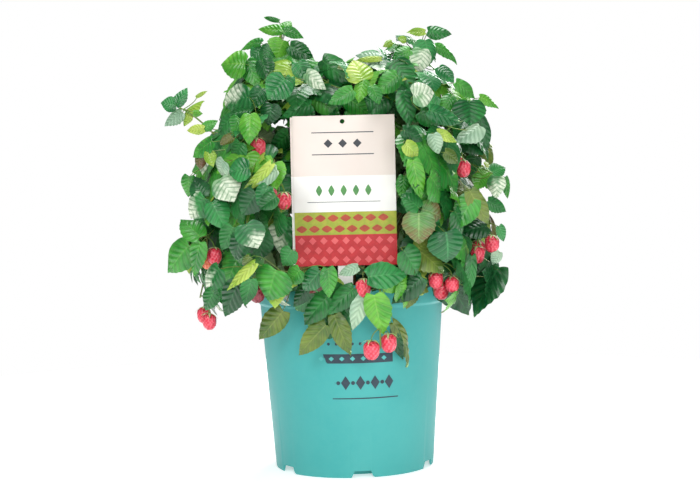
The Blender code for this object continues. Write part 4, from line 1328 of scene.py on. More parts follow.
def mottled(tree, colour, second, scale, amount, **more):
    """The mottle effect between two colours."""
    return use_group(tree, "mottle", Colour=colour, Second_colour=second, Scale=scale, Amount=amount, **more)


def cover(tree, shader, colour, scale, cells, strength, distance):
    """Gives a shader its colour, and fine relief of this scale and share of cells."""
    feed(tree, shader.inputs["Base Color"], colour)
    add_bump(tree, shader, use_group(tree, "relief", Scale=scale, Cells=cells)["Height"], strength, distance)


def leaf_material(name, colour, second, vein, rim=None, sheen=None, painted_crease_shade=0.4, paleness=0.28):
    """A leaf's upper face: mottled green, with painted shade in its creases, paler veins and a soft gloss.

    rim is the colour that its margin flushes with, and sheen the start, lean, outward pull and colour of the
    painted sheen, a pale highlight painted on the ridges between its veins.
    """
    made, tree, shader = new_material(name, 0.34, coat=0.18, coat_roughness=0.2, specular=0.4)
    pattern = add_node(tree, "TexCoord").outputs["UV"]
    veins = use_group(tree, "veins", Pattern=pattern)
    mottle = mottled(tree, colour, second, 32.0, 0.95)
    tone = mottle["Colour"]
    if rim:
        flush = use_group(tree, "sheen", Pattern=pattern, Start=1.05, Lean=0.1, Outward=1.1)
        tone = mix_colours(tree, times(tree, flush["Mask"], 0.85), tone, rim)
    # Painted shade: the creases between the veins are darkened towards a dark tint.
    painted_shade_share = times(tree, math_node(tree, "SUBTRACT", 1.0, veins["Quilting"]), painted_crease_shade)
    tone = mix_colours(tree, painted_shade_share, tone, CREASE_SHADE, "MULTIPLY")
    tone = mix_colours(tree, times(tree, veins["Mask"], paleness), tone, vein)
    # Painted highlight: a pale colour mixed in on the ridges between veins, where gloss would catch the
    # light.
    if sheen:
        start, lean, outward, pale = sheen
        shine = use_group(tree, "sheen", Pattern=pattern, Quilting=veins["Quilting"], Start=start, Lean=lean,
                          Outward=outward)
        tone = mix_colours(tree, shine["Mask"], tone, pale)
    feed(tree, shader.inputs["Base Color"], tone)
    feed(tree, shader.inputs["Roughness"], ramp(tree, mottle["Value"], 0.0, 1.0, 0.28, 0.42, soft=False))
    fine = use_group(tree, "relief", Scale=620.0, Cells=0.8)
    add_bump(tree, shader, plus(tree, times(tree, fine["Height"], 0.18), veins["Quilting"]), 0.45, 0.0007)
    return made


# The colour of the painted highlight on leaves.
PAINTED_SHEEN_COLOUR = paint(224, 231, 210)
# The dark tint of the painted shade in the leaves' creases.
CREASE_SHADE = (0.14, 0.20, 0.16, 1.0)

# Upper face, mottling and vein of each kind of leaf, then what is special to it, such as the painted
# highlight of the striped, edged and cream kinds and the amount of painted shade in the creases.
LEAF_KINDS = {
    "deep": ((8, 66, 30), (24, 98, 44), (56, 134, 74), {}),
    "forest": ((12, 86, 34), (40, 128, 54), (80, 158, 84), {}),
    "emerald": ((18, 100, 48), (54, 148, 74), (104, 180, 110), {}),
    "mid": ((28, 118, 38), (74, 160, 58), (126, 190, 94), {}),
    "bright": ((58, 142, 34), (108, 180, 56), (160, 204, 100), {"painted_crease_shade": 0.3}),
    "young": ((120, 166, 44), (176, 198, 86), (204, 216, 132), {"painted_crease_shade": 0.25}),
    "olive": ((66, 98, 32), (112, 132, 48), (160, 170, 92), {}),
    "bronze": ((100, 60, 38), (92, 104, 44), (156, 116, 78), {}),
    "maroon": ((104, 32, 34), (84, 56, 40), (146, 78, 70), {}),
    "striped": ((12, 92, 40), (40, 134, 58), (26, 108, 48), {"sheen": (0.98, 0.8, 0.0, PAINTED_SHEEN_COLOUR)}),
    "edged": ((16, 88, 46), (50, 128, 68), (30, 104, 54), {"sheen": (1.12, -0.3, 0.5, PAINTED_SHEEN_COLOUR)}),
    "cream": ((70, 138, 82), (120, 170, 116), (60, 126, 74),
              {"sheen": (0.62, -0.5, 0.3, PAINTED_SHEEN_COLOUR), "paleness": 0.2}),
    "pleated": ((14, 90, 40), (46, 136, 62), (14, 80, 38), {"painted_crease_shade": 0.6, "paleness": 0.1}),
    "veined": ((8, 82, 40), (20, 112, 52), (84, 166, 102), {"paleness": 0.45}),
    "flushed": ((58, 116, 54), (100, 150, 76), (158, 188, 118),
                {"rim": paint(118, 72, 48), "paleness": 0.45}),
    "silver": ((140, 176, 146), (172, 198, 168), (120, 158, 124), {}),
}
KINDS = list(LEAF_KINDS)
leaf_finishes = []
for kind, (*colours, special) in LEAF_KINDS.items():
    leaf_finishes.append(leaf_material("leaf " + kind, *[paint(*colour) for colour in colours], **special))


def underside_material(name, colour, second, vein):
    """A leaf's lower face: pale, dull and felted, with raised ribs."""
    made, tree, shader = new_material(name, 0.72, specular=0.3)
    pattern = add_node(tree, "TexCoord").outputs["UV"]
    veins = use_group(tree, "veins", Pattern=pattern, Width=0.14, Midrib=0.07)
    mottle = mottled(tree, colour, second, 90.0, 0.6)
    share = times(tree, veins["Mask"], 0.5)
    feed(tree, shader.inputs["Base Color"], mix_colours(tree, share, mottle["Colour"], vein))
    add_bump(tree, shader, veins["Mask"], 0.6, 0.0006)
    return made


leaf_finishes.append(underside_material("leaf underside", paint(154, 190, 132), paint(180, 208, 158),
                                        paint(204, 218, 176)))
UNDERSIDE = len(leaf_finishes) - 1
print("leaf finishes:", [finish.name for finish in leaf_finishes])

# %% [markdown]
# One leaflet
#
# A raspberry leaflet is broadly oval with a drawn-out tip. Seven side veins run out from each side of its
# midrib to the large teeth of its margin, and the blade puffs up between them like quilting. So the grid
# follows the veins: its rows run from the midrib to the margin, and every second row is a vein that ends in
# a tooth. That gives teeth and quilting with few faces. The leaves placed one by one have twice as many rows.
# The underside shares the margin and closes it.

# %% The leaflet's grid
VEIN_PAIRS = 7
BLADE_THICKNESS = 0.0007
LEAF_CRISP = 80


def leaflet_grid(steps, columns):
    """Row share, across share and under mark of each point of a leaflet, and its face blocks."""
    rows = np.arange(1, steps)
    top = 2 + (rows[:, None] - 1) * columns + np.arange(columns)[None, :]
    under = 2 + (steps - 1) * columns + (rows - 1)
    share = np.concatenate([[0.0, 1.0], np.repeat(rows / steps, columns), rows / steps])
    across = np.concatenate([[0.0, 0.0], np.tile(np.linspace(-1, 1, columns), steps - 1), 0.0 * rows])
    below = np.concatenate([np.zeros(2 + (steps - 1) * columns), np.ones(steps - 1)])
    bottom = np.stack([top[:, 0], under, top[:, -1]], axis=1)

    def strip(ids, flipped):
        """Quads between the rows, then the triangles that close the two ends."""
        a, b, c, d = ids[:-1, :-1], ids[:-1, 1:], ids[1:, 1:], ids[1:, :-1]
        quads = np.stack([a, b, c, d], axis=-1).reshape(-1, 4)
        base = np.stack([np.zeros_like(ids[0, 1:]), ids[0, 1:], ids[0, :-1]], axis=-1)
        tip = np.stack([ids[-1, :-1], ids[-1, 1:], np.ones_like(ids[0, 1:])], axis=-1)
        blocks = [quads, np.concatenate([base, tip])]
        return [block[:, ::-1] for block in blocks] if flipped else blocks

    upper = strip(top, False)
    lower = strip(bottom, True)
    return share, across, below, upper, lower


def outline(share):
    """Half width along a leaflet: share to the 0.45 times what is left to the 1.2, scaled to a peak of 1."""
    rise, fall = 0.45, 1.2
    peak = rise / (rise + fall)
    return share**rise * (1 - share) ** fall / (peak**rise * (1 - peak) ** fall)


PLAIN_GRID = leaflet_grid(2 * VEIN_PAIRS, 5)
SHOWN_GRID = leaflet_grid(4 * VEIN_PAIRS, 9)
for grid in (PLAIN_GRID, SHOWN_GRID):
    print("points in a leaflet:", len(grid[0]), "faces:", sum(len(block) for block in grid[3] + grid[4]))


# %% The leaflet's surface
def leaflet_points(at, grid):
    """Points (k, p, 3) of k leaflets, from arrays of their base, axis, normal and sizes.

    Along: the row's share to a power that falls from 1.65 at the midrib to 0.8 at the margin, so that
    veins slant forward, and the base is drawn back like a heart's. Across: the outline times the across
    share, with every vein's end pushed out as a tooth. Up: a fold at the midrib, a fall towards the margin,
    quilting between veins, and a slow wave of the margin. Then the blade is bent down along a circle, swung
    to one side, and laid on its axis and normal.
    """
    share, across, below = (part[None] for part in grid[:3])
    far = np.abs(across)
    length, width = at["length"][:, None], at["width"][:, None]
    vein = 0.5 + 0.5 * np.cos(2 * np.pi * VEIN_PAIRS * share)
    tooth = 1 + at["tooth"][:, None] * (vein - 0.45) * far**2
    x = across * outline(share) * width * tooth
    heart = 0.13 * np.exp(-((share / 0.16) ** 2)) * far
    forward = share ** (1.65 - 0.85 * far**0.8)
    y = length * (forward - heart + 0.016 * (vein - 0.4) * far**2 * (share > 0.1))
    puff = at["quilt"][:, None] * (1 - vein) * (0.25 + 2.6 * far * (1.15 - far))
    puff = puff * np.sin(np.pi * share) ** 0.5
    wave = at["wave"][:, None] * np.sin(2 * np.pi * (1.3 * share + at["phase"][:, None]) + across) * far**2
    z = at["fold"][:, None] * np.abs(x) - at["cup"][:, None] * x**2 / width + length * (puff + wave)
    z = z - BLADE_THICKNESS * (below + 0.35 * (far == 0) * (1 - below))
    bend = at["bend"][:, None]
    angle = bend * y / length
    along = length / bend * np.sin(angle) + z * np.sin(angle)
    lift = -length / bend * (1 - np.cos(angle)) + z * np.cos(angle)
    x = x + at["swerve"][:, None] * length * (y / length) ** 2
    beside = np.cross(at["axis"], at["normal"])
    return (at["base"][:, None] + x[..., None] * beside[:, None] + along[..., None] * at["axis"][:, None]
            + lift[..., None] * at["normal"][:, None])


def leaflet_piece(name, at, grid, stands_for=()):
    """All the leaflets of a piece in one mesh, each with its own finish above and the pale one below."""
    share, across, _, upper, lower = grid
    points = leaflet_points(at, grid)
    count, each, _ = points.shape
    blocks = [repeat_faces(block, count, each) for block in upper + lower]
    looks = [np.repeat(at["kind"], len(block)) for block in upper]
    looks += [np.full(count * len(block), UNDERSIDE) for block in lower]
    uv = np.tile(np.stack([0.5 + 0.5 * across, share], axis=-1), (count, 1))
    put_mesh(name, (points.reshape(-1, 3), blocks), leaf_finishes, np.concatenate(looks), uv,
             LEAF_CRISP, stands_for)


# %% [markdown]
# From leaves to leaflets
#
# Each leaf of the rule becomes an end leaflet on a short stalk and up to two side leaflets at its joint. All
# the leaflets of a leaf share one green, and the greens are dealt out by where the leaf hangs: deep inside
# and below, bright at the shoots and high up, a little lighter on the left, and a few bronze ones among the
# right-hand leaves. Beside the leaves' own greens, the darker ones inside and below and the lighter ones
# above and on the left are partly painted shade and light.

# %% Deal out leaflets
END_STALK = 0.10
END_LENGTH = 0.98
WIDTH_SHARE = 0.425
SHOOT_LEAFLETS = 6
SHOOT_TURN = math.radians(137.5)

# The greens from dark to light, each up to its own value of the lightness below, which is partly painted
# light and shade. Above the last, a leaf is bright.
GREENS = ((0.16, "deep"), (0.34, "forest"), (0.48, "emerald"), (0.66, "mid"))
LIGHT_OUT = 0.30
LIGHT_UP = 1.9
LIGHT_FROM = 0.29
PAINTED_LIGHT_LEFT = 0.04
LIGHT_STRAY = 0.22


def kind_of(leaf, seeded):
    """The kind of green of a leaf, from its size, its height, its side and a seeded draw."""
    centre = middle(leaf)
    draw = seeded.random()
    out = math.hypot(centre.x, centre.y) / CROWN_RADIUS
    if leaf.length < 0.032 and draw < 0.45:
        return "young" if draw < 0.2 else "bright"
    if centre.x > 0.02 and draw < 0.07:
        return "bronze" if leaf.length < 0.042 and centre.z < 0.32 else "mid"
    if draw > 0.95:
        return "olive" if leaf.length < 0.045 else "forest"
    # The striped and edged kinds carry a painted highlight on the ridges between their veins.
    if 0.07 < draw < 0.12:
        return "striped" if draw < 0.09 else "edged"
    if 0.12 < draw < 0.18:
        return "pleated"
    # Lighter further out, higher up and on the left, darker inside and low down: beside the leaves' own
    # greens, this is partly painted light and shade.
    light = LIGHT_OUT * out + LIGHT_UP * (centre.z - LIGHT_FROM)
    light = light + (PAINTED_LIGHT_LEFT if centre.x < 0 else -PAINTED_LIGHT_LEFT) + seeded.gauss(0, LIGHT_STRAY)
    return next((kind for most, kind in GREENS if light < most), "bright")


def leaflet_rows(one):
    """The leaflets of one mass as a list of plain rows, and the stalks that carry them."""
    seeded = random.Random(one["mass"].name + " leaflets")
    rows = []
    for leaf in one["leaves"]:
        kind = KINDS.index(kind_of(leaf, seeded))
        bend = seeded.uniform(0.35, 0.85)
        fold = seeded.uniform(0.05, 0.22)
        for way in (0, *leaf.sides):
            turn = way * (SIDE_LEAFLET_ANGLE + seeded.uniform(-0.12, 0.12))
            size = (SIDE_LEAFLET_SIZE if way else END_LENGTH) * seeded.uniform(0.94, 1.06)
            axis = (leaf.way(turn) + leaf.normal * seeded.uniform(-0.10, 0.08)).normalized()
            normal = square_to(leaf.normal + leaf.axis * seeded.uniform(-0.08, 0.08), axis)
            stalk = END_STALK if way == 0 else 0.02
            length = leaf.length * size
            rows.append({
                "base": leaf.joint + axis * leaf.length * stalk,
                "axis": axis,
                "normal": normal,
                "length": length,
                "width": length * WIDTH_SHARE * seeded.uniform(0.92, 1.10) * (1.0 if way == 0 else 0.94),
                "bend": bend * seeded.uniform(0.8, 1.2),
                "fold": fold,
                "cup": seeded.uniform(0.10, 0.40),
                "quilt": seeded.uniform(0.016, 0.027),
                "wave": seeded.uniform(0.006, 0.022),
                "phase": seeded.random(),
                "swerve": seeded.uniform(-0.06, 0.06),
                "tooth": seeded.uniform(0.04, 0.09),
                "kind": kind,
            })
    return rows


def shoot_rows(one):
    """A rosette of young leaflets at a stem's end, on the sides that have no shown leaves."""
    tip = one["stem"][-1]
    if tip.y < 0.0:
        return []
    heading = (tip - one["stem"][-2]).normalized()
    beside = heading.orthogonal().normalized()
    seeded = random.Random(one["mass"].name + " shoot")
    rows = []
    for index in range(SHOOT_LEAFLETS):
        aside = Matrix.Rotation(SHOOT_TURN * index, 3, heading) @ beside
        axis = (heading * seeded.uniform(0.4, 1.2) + aside).normalized()
        length = seeded.uniform(0.012, 0.024)
        rows.append({
            "base": tip - heading * 0.0015 * index, "axis": axis,
            "normal": square_to(heading, axis), "length": length,
            "width": 0.3 * length, "bend": 0.5, "fold": 0.3, "cup": 0.1, "quilt": 0.02, "wave": 0.01,
            "phase": seeded.random(), "swerve": seeded.uniform(-0.1, 0.1), "tooth": 0.08,
            "kind": KINDS.index("young"),
        })
    return rows


def as_arrays(rows):
    """A list of rows turned into one array for each name."""
    made = {key: np.array([tuple(row[key]) for row in rows]) for key in ("base", "axis", "normal")}
    for key in rows[0]:
        if key not in made:
            made[key] = np.array([row[key] for row in rows], dtype=int if key == "kind" else float)
    return made


def shown_rows():
    """The shown leaves as rows of the same kind."""
    seeded = random.Random("shown leaflets")
    rows = []
    for leaf in shown_leaves:
        rows.append({
            "base": leaf.base, "axis": leaf.axis, "normal": leaf.normal, "length": leaf.length,
            "width": leaf.half * 1.06, "bend": seeded.uniform(0.3, 0.9), "fold": seeded.uniform(0.02, 0.22),
            "cup": seeded.uniform(0.15, 0.55), "quilt": seeded.uniform(0.014, 0.024),
            "wave": seeded.uniform(0.010, 0.030), "phase": seeded.random(),
            "swerve": leaf.arch or seeded.uniform(-0.07, 0.07), "tooth": seeded.uniform(0.03, 0.07),
            "kind": KINDS.index(leaf.kind),
        })
    return rows


leaflet_piece("leaves_shown", as_arrays(shown_rows()), SHOWN_GRID)

TIERS = {tier: [one for one in grown if one["mass"].name.startswith(tier)] for tier in FOOT_RADII}
for tier, theirs in TIERS.items():
    rows = [row for one in theirs for row in leaflet_rows(one) + shoot_rows(one)]
    nodes = ["foliage_" + one["mass"].name for one in theirs]
    leaflet_piece("leaves_" + tier, as_arrays(rows), PLAIN_GRID, nodes)

# %% [markdown]
# Stems and leaf stalks
#
# A stem is a smooth curve through the stem points of the solids, thinner towards its end. A leaf's stalk
# sags a little between the stem and the joint, and goes on as the end leaflet's short stalk.


# %% Green wood
def stem_material():
    """Stems and stalks: green with a reddish flush, slightly glossy."""
    made, tree, shader = new_material("green stem", 0.45, specular=0.45)
    mottle = mottled(tree, paint(98, 142, 56), paint(120, 118, 62), 70.0, 0.7)
    cover(tree, shader, mottle["Colour"], 900.0, 0.6, 0.4, 0.0004)
    return made


def smooth_line(points, steps):
    """A curve through the given points by the Catmull-Rom rule, read at even shares."""
    points = np.array([tuple(point) for point in points])
    padded = np.concatenate([[2 * points[0] - points[1]], points, [2 * points[-1] - points[-2]]])
    share = np.linspace(0, len(points) - 1 - 1e-9, steps)
    index = share.astype(int)
    t = (share - index)[:, None]
    a, b, c, d = (padded[index + shift] for shift in range(4))
    return 0.5 * (2 * b + (c - a) * t + (2 * a - 5 * b + 4 * c - d) * t**2 + (3 * b - a - 3 * c + d) * t**3)


STALK_SAG = 0.05
STALK_BEHIND = 0.015
FRONT_COST = 1.2
WOOD_CRISP = 60
STALK_RINGS = 8
STEM_RINGS = 26


def stalk_shapes(one):
    """Every leaf stalk of a mass as tubes: a cubic from the stem to the joint, on along the end leaflet."""
    controls = []
    for leaf in one["leaves"]:
        run = leaf.joint - leaf.foot
        sag = UP * run.length * STALK_SAG
        controls.append([leaf.foot, leaf.foot + run * 0.35 - sag, leaf.joint - run * 0.25 - sag,
                         leaf.joint + leaf.axis * leaf.length * (END_STALK + 0.01)])
    lines = bezier_rows(controls, STALK_RINGS)
    lengths = np.array([leaf.length for leaf in one["leaves"]])
    thick = np.clip(lengths / LEAF_LENGTH, 0.55, 1.0)[:, None] * STALK_RADIUS
    radii = thick * np.linspace(1.15, 0.62, STALK_RINGS)[None]
    return tubes(lines, radii, 5)


def shown_stalks():
    """A stalk for every shown leaf, from the nearest point of a stem or a large leaf's stalk."""
    nodes = [node for one in grown for node in one["stem"] if node.z > STEM_ENDS.get(one["mass"].name, 0.0)]
    nodes += [leaf.foot.lerp(leaf.joint, 0.5) for one in grown for leaf in one["leaves"][:one["large"]]]
    controls = []
    for leaf in shown_leaves:
        ahead = leaf.base.y + STALK_BEHIND
        foot = min(nodes, key=lambda node: (node - leaf.base).length
                   + FRONT_COST * max(ahead - node.y, 0.0) + max(leaf.base.z - node.z, 0.0))
        run = leaf.base - foot
        behind = leaf.base - leaf.axis * 0.10 * run.length - leaf.normal * 0.30 * run.length
        controls.append([foot, foot + run * 0.35 - leaf.normal * 0.2 * run.length, behind,
                         leaf.base + leaf.axis * 0.05 * leaf.length])
    lines = bezier_rows(controls, STALK_RINGS)
    radii = np.full((len(lines), 1), STALK_RADIUS) * np.linspace(0.7, 0.45, STALK_RINGS)[None]
    return tubes(lines, radii, 5)


stem_finish = stem_material()
put_mesh("stems_shown", shown_stalks(), [stem_finish], sharp=WOOD_CRISP)
for tier, theirs in TIERS.items():
    shapes = []
    for one in theirs:
        line = smooth_line(one["stem"], STEM_RINGS)
        kept = line[:, 2] > STEM_ENDS.get(one["mass"].name, 0.0)
        line = smooth_line(line[kept], STEM_RINGS)[None]
        radii = np.linspace(STEM_RADIUS, 0.5 * STEM_RADIUS, STEM_RINGS)[None]
        shapes += [tubes(line, radii, 7), stalk_shapes(one)]
    put_mesh("stems_" + tier, join(shapes), [stem_finish], sharp=WOOD_CRISP)

# %% [markdown]
# Canes
#
# A cane is the woody shoot that everything hangs from. It rises out of the compost and arches out to its
# mass. Its bark is finely ridged along its length and swells at each old leaf joint, so its surface is a tube
# whose radius changes with the angle and with the way along it.

# %% Bark and canes
CANE_RINGS = 60
CANE_SIDES = 14
JOINT_SPACING = 0.028
JOINT_WIDTH = 0.0022


def bark_material():
    """Young cane bark: brown below with green showing through, with small dark specks."""
    made, tree, shader = new_material("cane bark", 0.62, specular=0.35)
    mottle = mottled(tree, paint(126, 92, 58), paint(112, 124, 62), 38.0, 0.8)
    specks = mottled(tree, mottle["Colour"], paint(66, 46, 34), 420.0, 0.5)
    cover(tree, shader, specks["Colour"], 700.0, 0.9, 0.6, 0.0006)
    return made


def cane_surface(mass, seed):
    """Points and faces of one cane.

    Its line is the same cubic as the solid's. Its radius tapers with the length gone, flares at the foot,
    has five soft ridges round it, and swells by a sixth at each old joint.
    """
    line = np.concatenate([[tuple(mass.foot)], bezier_rows([cane_control(mass)], CANE_RINGS - 1)[0]])
    gone = np.concatenate([[0], np.cumsum(np.linalg.norm(np.diff(line, axis=0), axis=1))])
    taper = CANE_FOOT_RADIUS + (CANE_TIP_RADIUS - CANE_FOOT_RADIUS) * gone / gone[-1]
    radius = taper * (1.0 + CANE_FLARE * np.exp(-gone / CANE_FLARE_LENGTH))
    joint = np.exp(-(((gone / JOINT_SPACING) % 1.0 - 0.5) * JOINT_SPACING / JOINT_WIDTH) ** 2)
    radius = radius * (1 + 0.16 * joint) * 0.98
    points, blocks = tubes(line[None], radius[None], CANE_SIDES)
    rings = points.reshape(CANE_RINGS, CANE_SIDES, 3)
    ridge = 0.035 * np.cos(5 * full_turn(CANE_SIDES))[None] + 0.035 * ripple(rings, 0.006, seed)
    rings = rings + (rings - line[:, None]) * ridge[..., None]
    return rings.reshape(-1, 3), blocks


bark_finish = bark_material()
for seed, one in enumerate(grown):
    name = one["mass"].name
    put_mesh("bark_" + name, cane_surface(one["mass"], seed), [bark_finish], sharp=WOOD_CRISP,
             stands_for=["cane_" + name])

# %% [markdown]
# Berries
#
# A raspberry is a cup of some eighty drupelets, small juicy balls that press on each other. The surface is a
# blunt cone, and every point of it is pushed out to the ball that it lies under. That makes creases between
# the balls without modelling each one.

# %% Fruit
BERRY_TURNS = 60
BERRY_STEPS = 40
DRUPELET_ROWS = 9
DRUPELET_SPACING = 0.40
DRUPELET_BALL = 0.245
BERRY_TALL = 2.05
BERRY_WIDE = 0.78


def berry_material(name, colour, second, pale):
    """Drupelets: red skin over juice, glossy, with painted shade in the creases and a painted highlight on
    top.
    """
    made, tree, shader = new_material(name, 0.30, coat=0.3, coat_roughness=0.2, specular=0.5, subsurface=0.1)
    shader.inputs["Subsurface Radius"].default_value = (1.0, 0.25, 0.2)
    shader.inputs["Subsurface Scale"].default_value = 0.002
    mottle = mottled(tree, colour, second, 260.0, 0.55)
    pattern = add_node(tree, "TexCoord").outputs["UV"]
    crown = add_node(tree, "SeparateXYZ", Vector=pattern).outputs["X"]
    # Painted shade: darker where the surface lies low between drupelets.
    painted_crease_shade = ramp(tree, crown, 0.72, 0.30, 0.0, 0.7)
    dark = mix_colours(tree, painted_crease_shade, mottle["Colour"], (0.22, 0.08, 0.12, 1.0), "MULTIPLY")
    # Painted highlight: the tops of the drupelets are mixed towards the pale colour.
    painted_highlight_share = ramp(tree, crown, 0.80, 1.0, 0.0, 0.35)
    feed(tree, shader.inputs["Base Color"], mix_colours(tree, painted_highlight_share, dark, pale))
    return made


def berry_surface(berry, drawn):
    """Points (steps, turns, 3) of one berry, and its quads.

    The cone's radius is size * (a rounded shoulder) * (a slow taper). Drupelets sit in staggered rows, and a
    point at distance d from the nearest drupelet's middle is pushed out by sqrt(ball**2 - d**2).
    """
    size = berry.size
    tall = BERRY_TALL * size

    def body(share):
        """The cone's radius at this share of its height."""
        shoulder = np.sqrt(np.clip(1 - (1 - np.clip(share / 0.32, 0, 1)) ** 2, 0, 1))
        point = np.sqrt(np.clip(1 - np.clip((share - 0.55) / 0.45, 0, 1) ** 2.2, 0, 1))
        return BERRY_WIDE * size * shoulder * point * (1 - 0.16 * share)

    share = (1 - np.cos(np.linspace(0.02, 1, BERRY_STEPS) * np.pi)) / 2
    angle = full_turn(BERRY_TURNS)

    def place(share, angle):
        """A point on the plain cone."""
        radius = body(share)
        return np.stack([radius * np.cos(angle), radius * np.sin(angle), -tall * share], axis=-1)

    grid = place(share[:, None] + 0 * angle[None], angle[None] + 0 * share[:, None])
    centres = []
    for row in range(DRUPELET_ROWS):
        at = (row + 0.5) / DRUPELET_ROWS
        count = max(3, int(round(2 * np.pi * body(np.array(at)) / (DRUPELET_SPACING * size))))
        turned = (np.arange(count) + 0.5 * (row % 2) + 0.08 * drawn.normal(size=count)) * 2 * np.pi / count
        centres.append(place(np.full(count, at), turned))
    centres = np.concatenate(centres)
    apart = np.linalg.norm(grid[:, :, None] - centres[None, None], axis=-1).min(axis=-1)
    ball = DRUPELET_BALL * size
    push = np.sqrt(np.clip(ball**2 - apart**2, 0, None))
    middle_line = np.stack([0 * share, 0 * share, -tall * (0.25 + 0.5 * share)], axis=-1)
    out = unit(grid - middle_line[:, None])
    ends = np.sin(np.pi * np.clip(share, 0.1, 0.96))[:, None, None] ** 0.3
    return grid + out * (0.95 * push)[..., None] * ends, push / ball


def berry_mesh(berry, drawn):
    """The berry hung from its stalk: turned by a seeded angle and closed at both ends by fans."""
    grid, height = berry_surface(berry, drawn)
    turned = drawn.uniform(0, 2 * np.pi)
    rotate = np.array([[np.cos(turned), -np.sin(turned), 0], [np.sin(turned), np.cos(turned), 0], [0, 0, 1]])
    grid = grid @ rotate.T + np.array(tuple(berry.top))
    points = np.concatenate([grid.reshape(-1, 3), grid[:1].mean(axis=1), grid[-1:].mean(axis=1)])
    heights = np.concatenate([height.ravel(), [1.0, 1.0]])
    return points, fan_faces(*grid.shape[:2]), np.stack([heights, 0 * heights], axis=1)


# The third colour of each is the painted highlight on the drupelets' tops.
berry_finishes = [
    berry_material("berry red", paint(206, 34, 58), paint(226, 66, 92), paint(246, 140, 156)),
    berry_material("berry dark", paint(116, 14, 34), paint(150, 26, 48), paint(190, 70, 90)),
    berry_material("berry ripening", paint(226, 92, 60), paint(232, 130, 84), paint(246, 186, 150)),
]
DARK_BERRIES = (17,)
RIPENING_BERRIES = (26,)

berries = [berry for one in grown for _, _, theirs in one["clusters"] for berry in theirs]
drawn = np.random.default_rng(11)
shapes = [berry_mesh(berry, drawn) for berry in berries]
looks = []
for index, (_, blocks, _) in enumerate(shapes):
    look = 1 if index in DARK_BERRIES else 2 if index in RIPENING_BERRIES else 0
    looks += [np.full(len(block), look) for block in blocks]
put_mesh("berries", join([shape[:2] for shape in shapes]), berry_finishes,
         np.concatenate(looks), np.concatenate([shape[2] for shape in shapes]))

# %% [markdown]
# Sepals and fruit stalks
#
# Five narrow sepals spread like a star over each berry, and a thin stalk carries it. Several stalks meet at a
# fork, and one stalk goes on from the fork to the stem.

# %% Stars and stalks
SEPALS = 5
SEPAL_ROWS = 6
FRUIT_STALK_RINGS = 9


def sepal_mesh(berry, drawn):
    """Sepals as thin closed blades, whose width falls to the tip and which arch out and down."""
    share = np.linspace(0, 1, SEPAL_ROWS)[None, :, None]
    turned = (full_turn(SEPALS) + drawn.uniform(0, 2 * np.pi))[:, None, None]
    turned = turned + drawn.normal(0, 0.1, (SEPALS, 1, 1))
    lift = drawn.uniform(-0.1, 0.5, (SEPALS, 1, 1))
    length = berry.size * drawn.uniform(1.0, 1.35, (SEPALS, 1, 1))
    around_blade = np.array([0, 1, 2, 3]) * np.pi / 2
    half = 0.22 * berry.size * (1 - share**1.6) ** 0.8 * np.sin(np.pi * (0.2 + 0.65 * share))
    across = half * np.cos(around_blade)
    thick = 0.0003 * np.sin(around_blade) * (1 - 0.7 * share)
    out = length * share + 0.0006
    up = 0.0012 + length * (lift * share - 0.75 * share**2) + thick
    flat = np.stack([out * np.cos(turned) - across * np.sin(turned),
                     out * np.sin(turned) + across * np.cos(turned), up + 0 * across], axis=-1)
    return (flat + np.array(tuple(berry.top))).reshape(-1, 3), tube_faces(SEPALS, SEPAL_ROWS, 4)


def sepal_material():
    """Sepals: pale green, downy and dull."""
    made, tree, shader = new_material("sepal", 0.6, specular=0.35)
    mottle = mottled(tree, paint(176, 196, 120), paint(214, 222, 176), 160.0, 0.8)
    cover(tree, shader, mottle["Colour"], 1400.0, 0.7, 0.4, 0.0003)
    return made


drawn = np.random.default_rng(12)
put_mesh("sepals", join([sepal_mesh(berry, drawn) for berry in berries]), [sepal_material()])

lines = []
for one in grown:
    for root, fork, theirs in one["clusters"]:
        span = fork - root
        lines.append(([root, root + span * 0.4 + UP * 0.006, fork + UP * 0.004 - span * 0.1, fork], 1.25))
        for berry in theirs:
            rise = UP * 0.5 * (fork - berry.top).length
            lines.append(([fork, fork.lerp(berry.top, 0.4) + rise * 0.3, berry.top + rise, berry.top], 0.9))
thick = np.array([share for _, share in lines])[:, None] * BERRY_STALK_RADIUS
radii = thick * np.linspace(1.1, 0.85, FRUIT_STALK_RINGS)[None]
stalks = tubes(bezier_rows([four for four, _ in lines], FRUIT_STALK_RINGS), radii, 6)
put_mesh("fruit_stalks", stalks, [stem_finish], sharp=WOOD_CRISP)

# %% [markdown]
# Pot
#
# The pot is moulded plastic with a satin skin: a tapered wall, a turned-out band at the rim, and a ring of
# feet made by six notches in the bottom edge. It is one grid: the profile runs up the inside, over the rim,
# down the outside and under the base, and is carried round the axis. In a notch the lowest rings are lifted.

# %% Pot surface
POT_TURNS = 288
POT_WALL = 0.002
RIM_BAND = 0.024
CHANNEL_HEIGHT = 0.008
PLATEAU_RADIUS = 0.072
NOTCH_COUNT = 6
NOTCH_WIDTH = 0.024
NOTCH_HEIGHT = 0.008
NOTCH_EDGE = 0.0022
FIRST_NOTCH = math.radians(5.5)
CORNER_RADIUS = 0.0011
CORNER_STEPS = 4
WALL_SWELL = 0.00025


def round_corners(outline):
    """A profile with each inner corner replaced by a short curve through two cut-back points."""
    outline = [np.array(point, float) for point in outline]
    made = [outline[0]]
    for before, corner, after in zip(outline, outline[1:], outline[2:]):
        back, on = before - corner, after - corner
        cut = min(CORNER_RADIUS, 0.45 * np.linalg.norm(back), 0.45 * np.linalg.norm(on))
        start = corner + back / np.linalg.norm(back) * cut
        end = corner + on / np.linalg.norm(on) * cut
        for share in np.linspace(0, 1, CORNER_STEPS):
            made.append((1 - share) ** 2 * start + 2 * share * (1 - share) * corner + share**2 * end)
    made.append(outline[-1])
    return np.array(made)


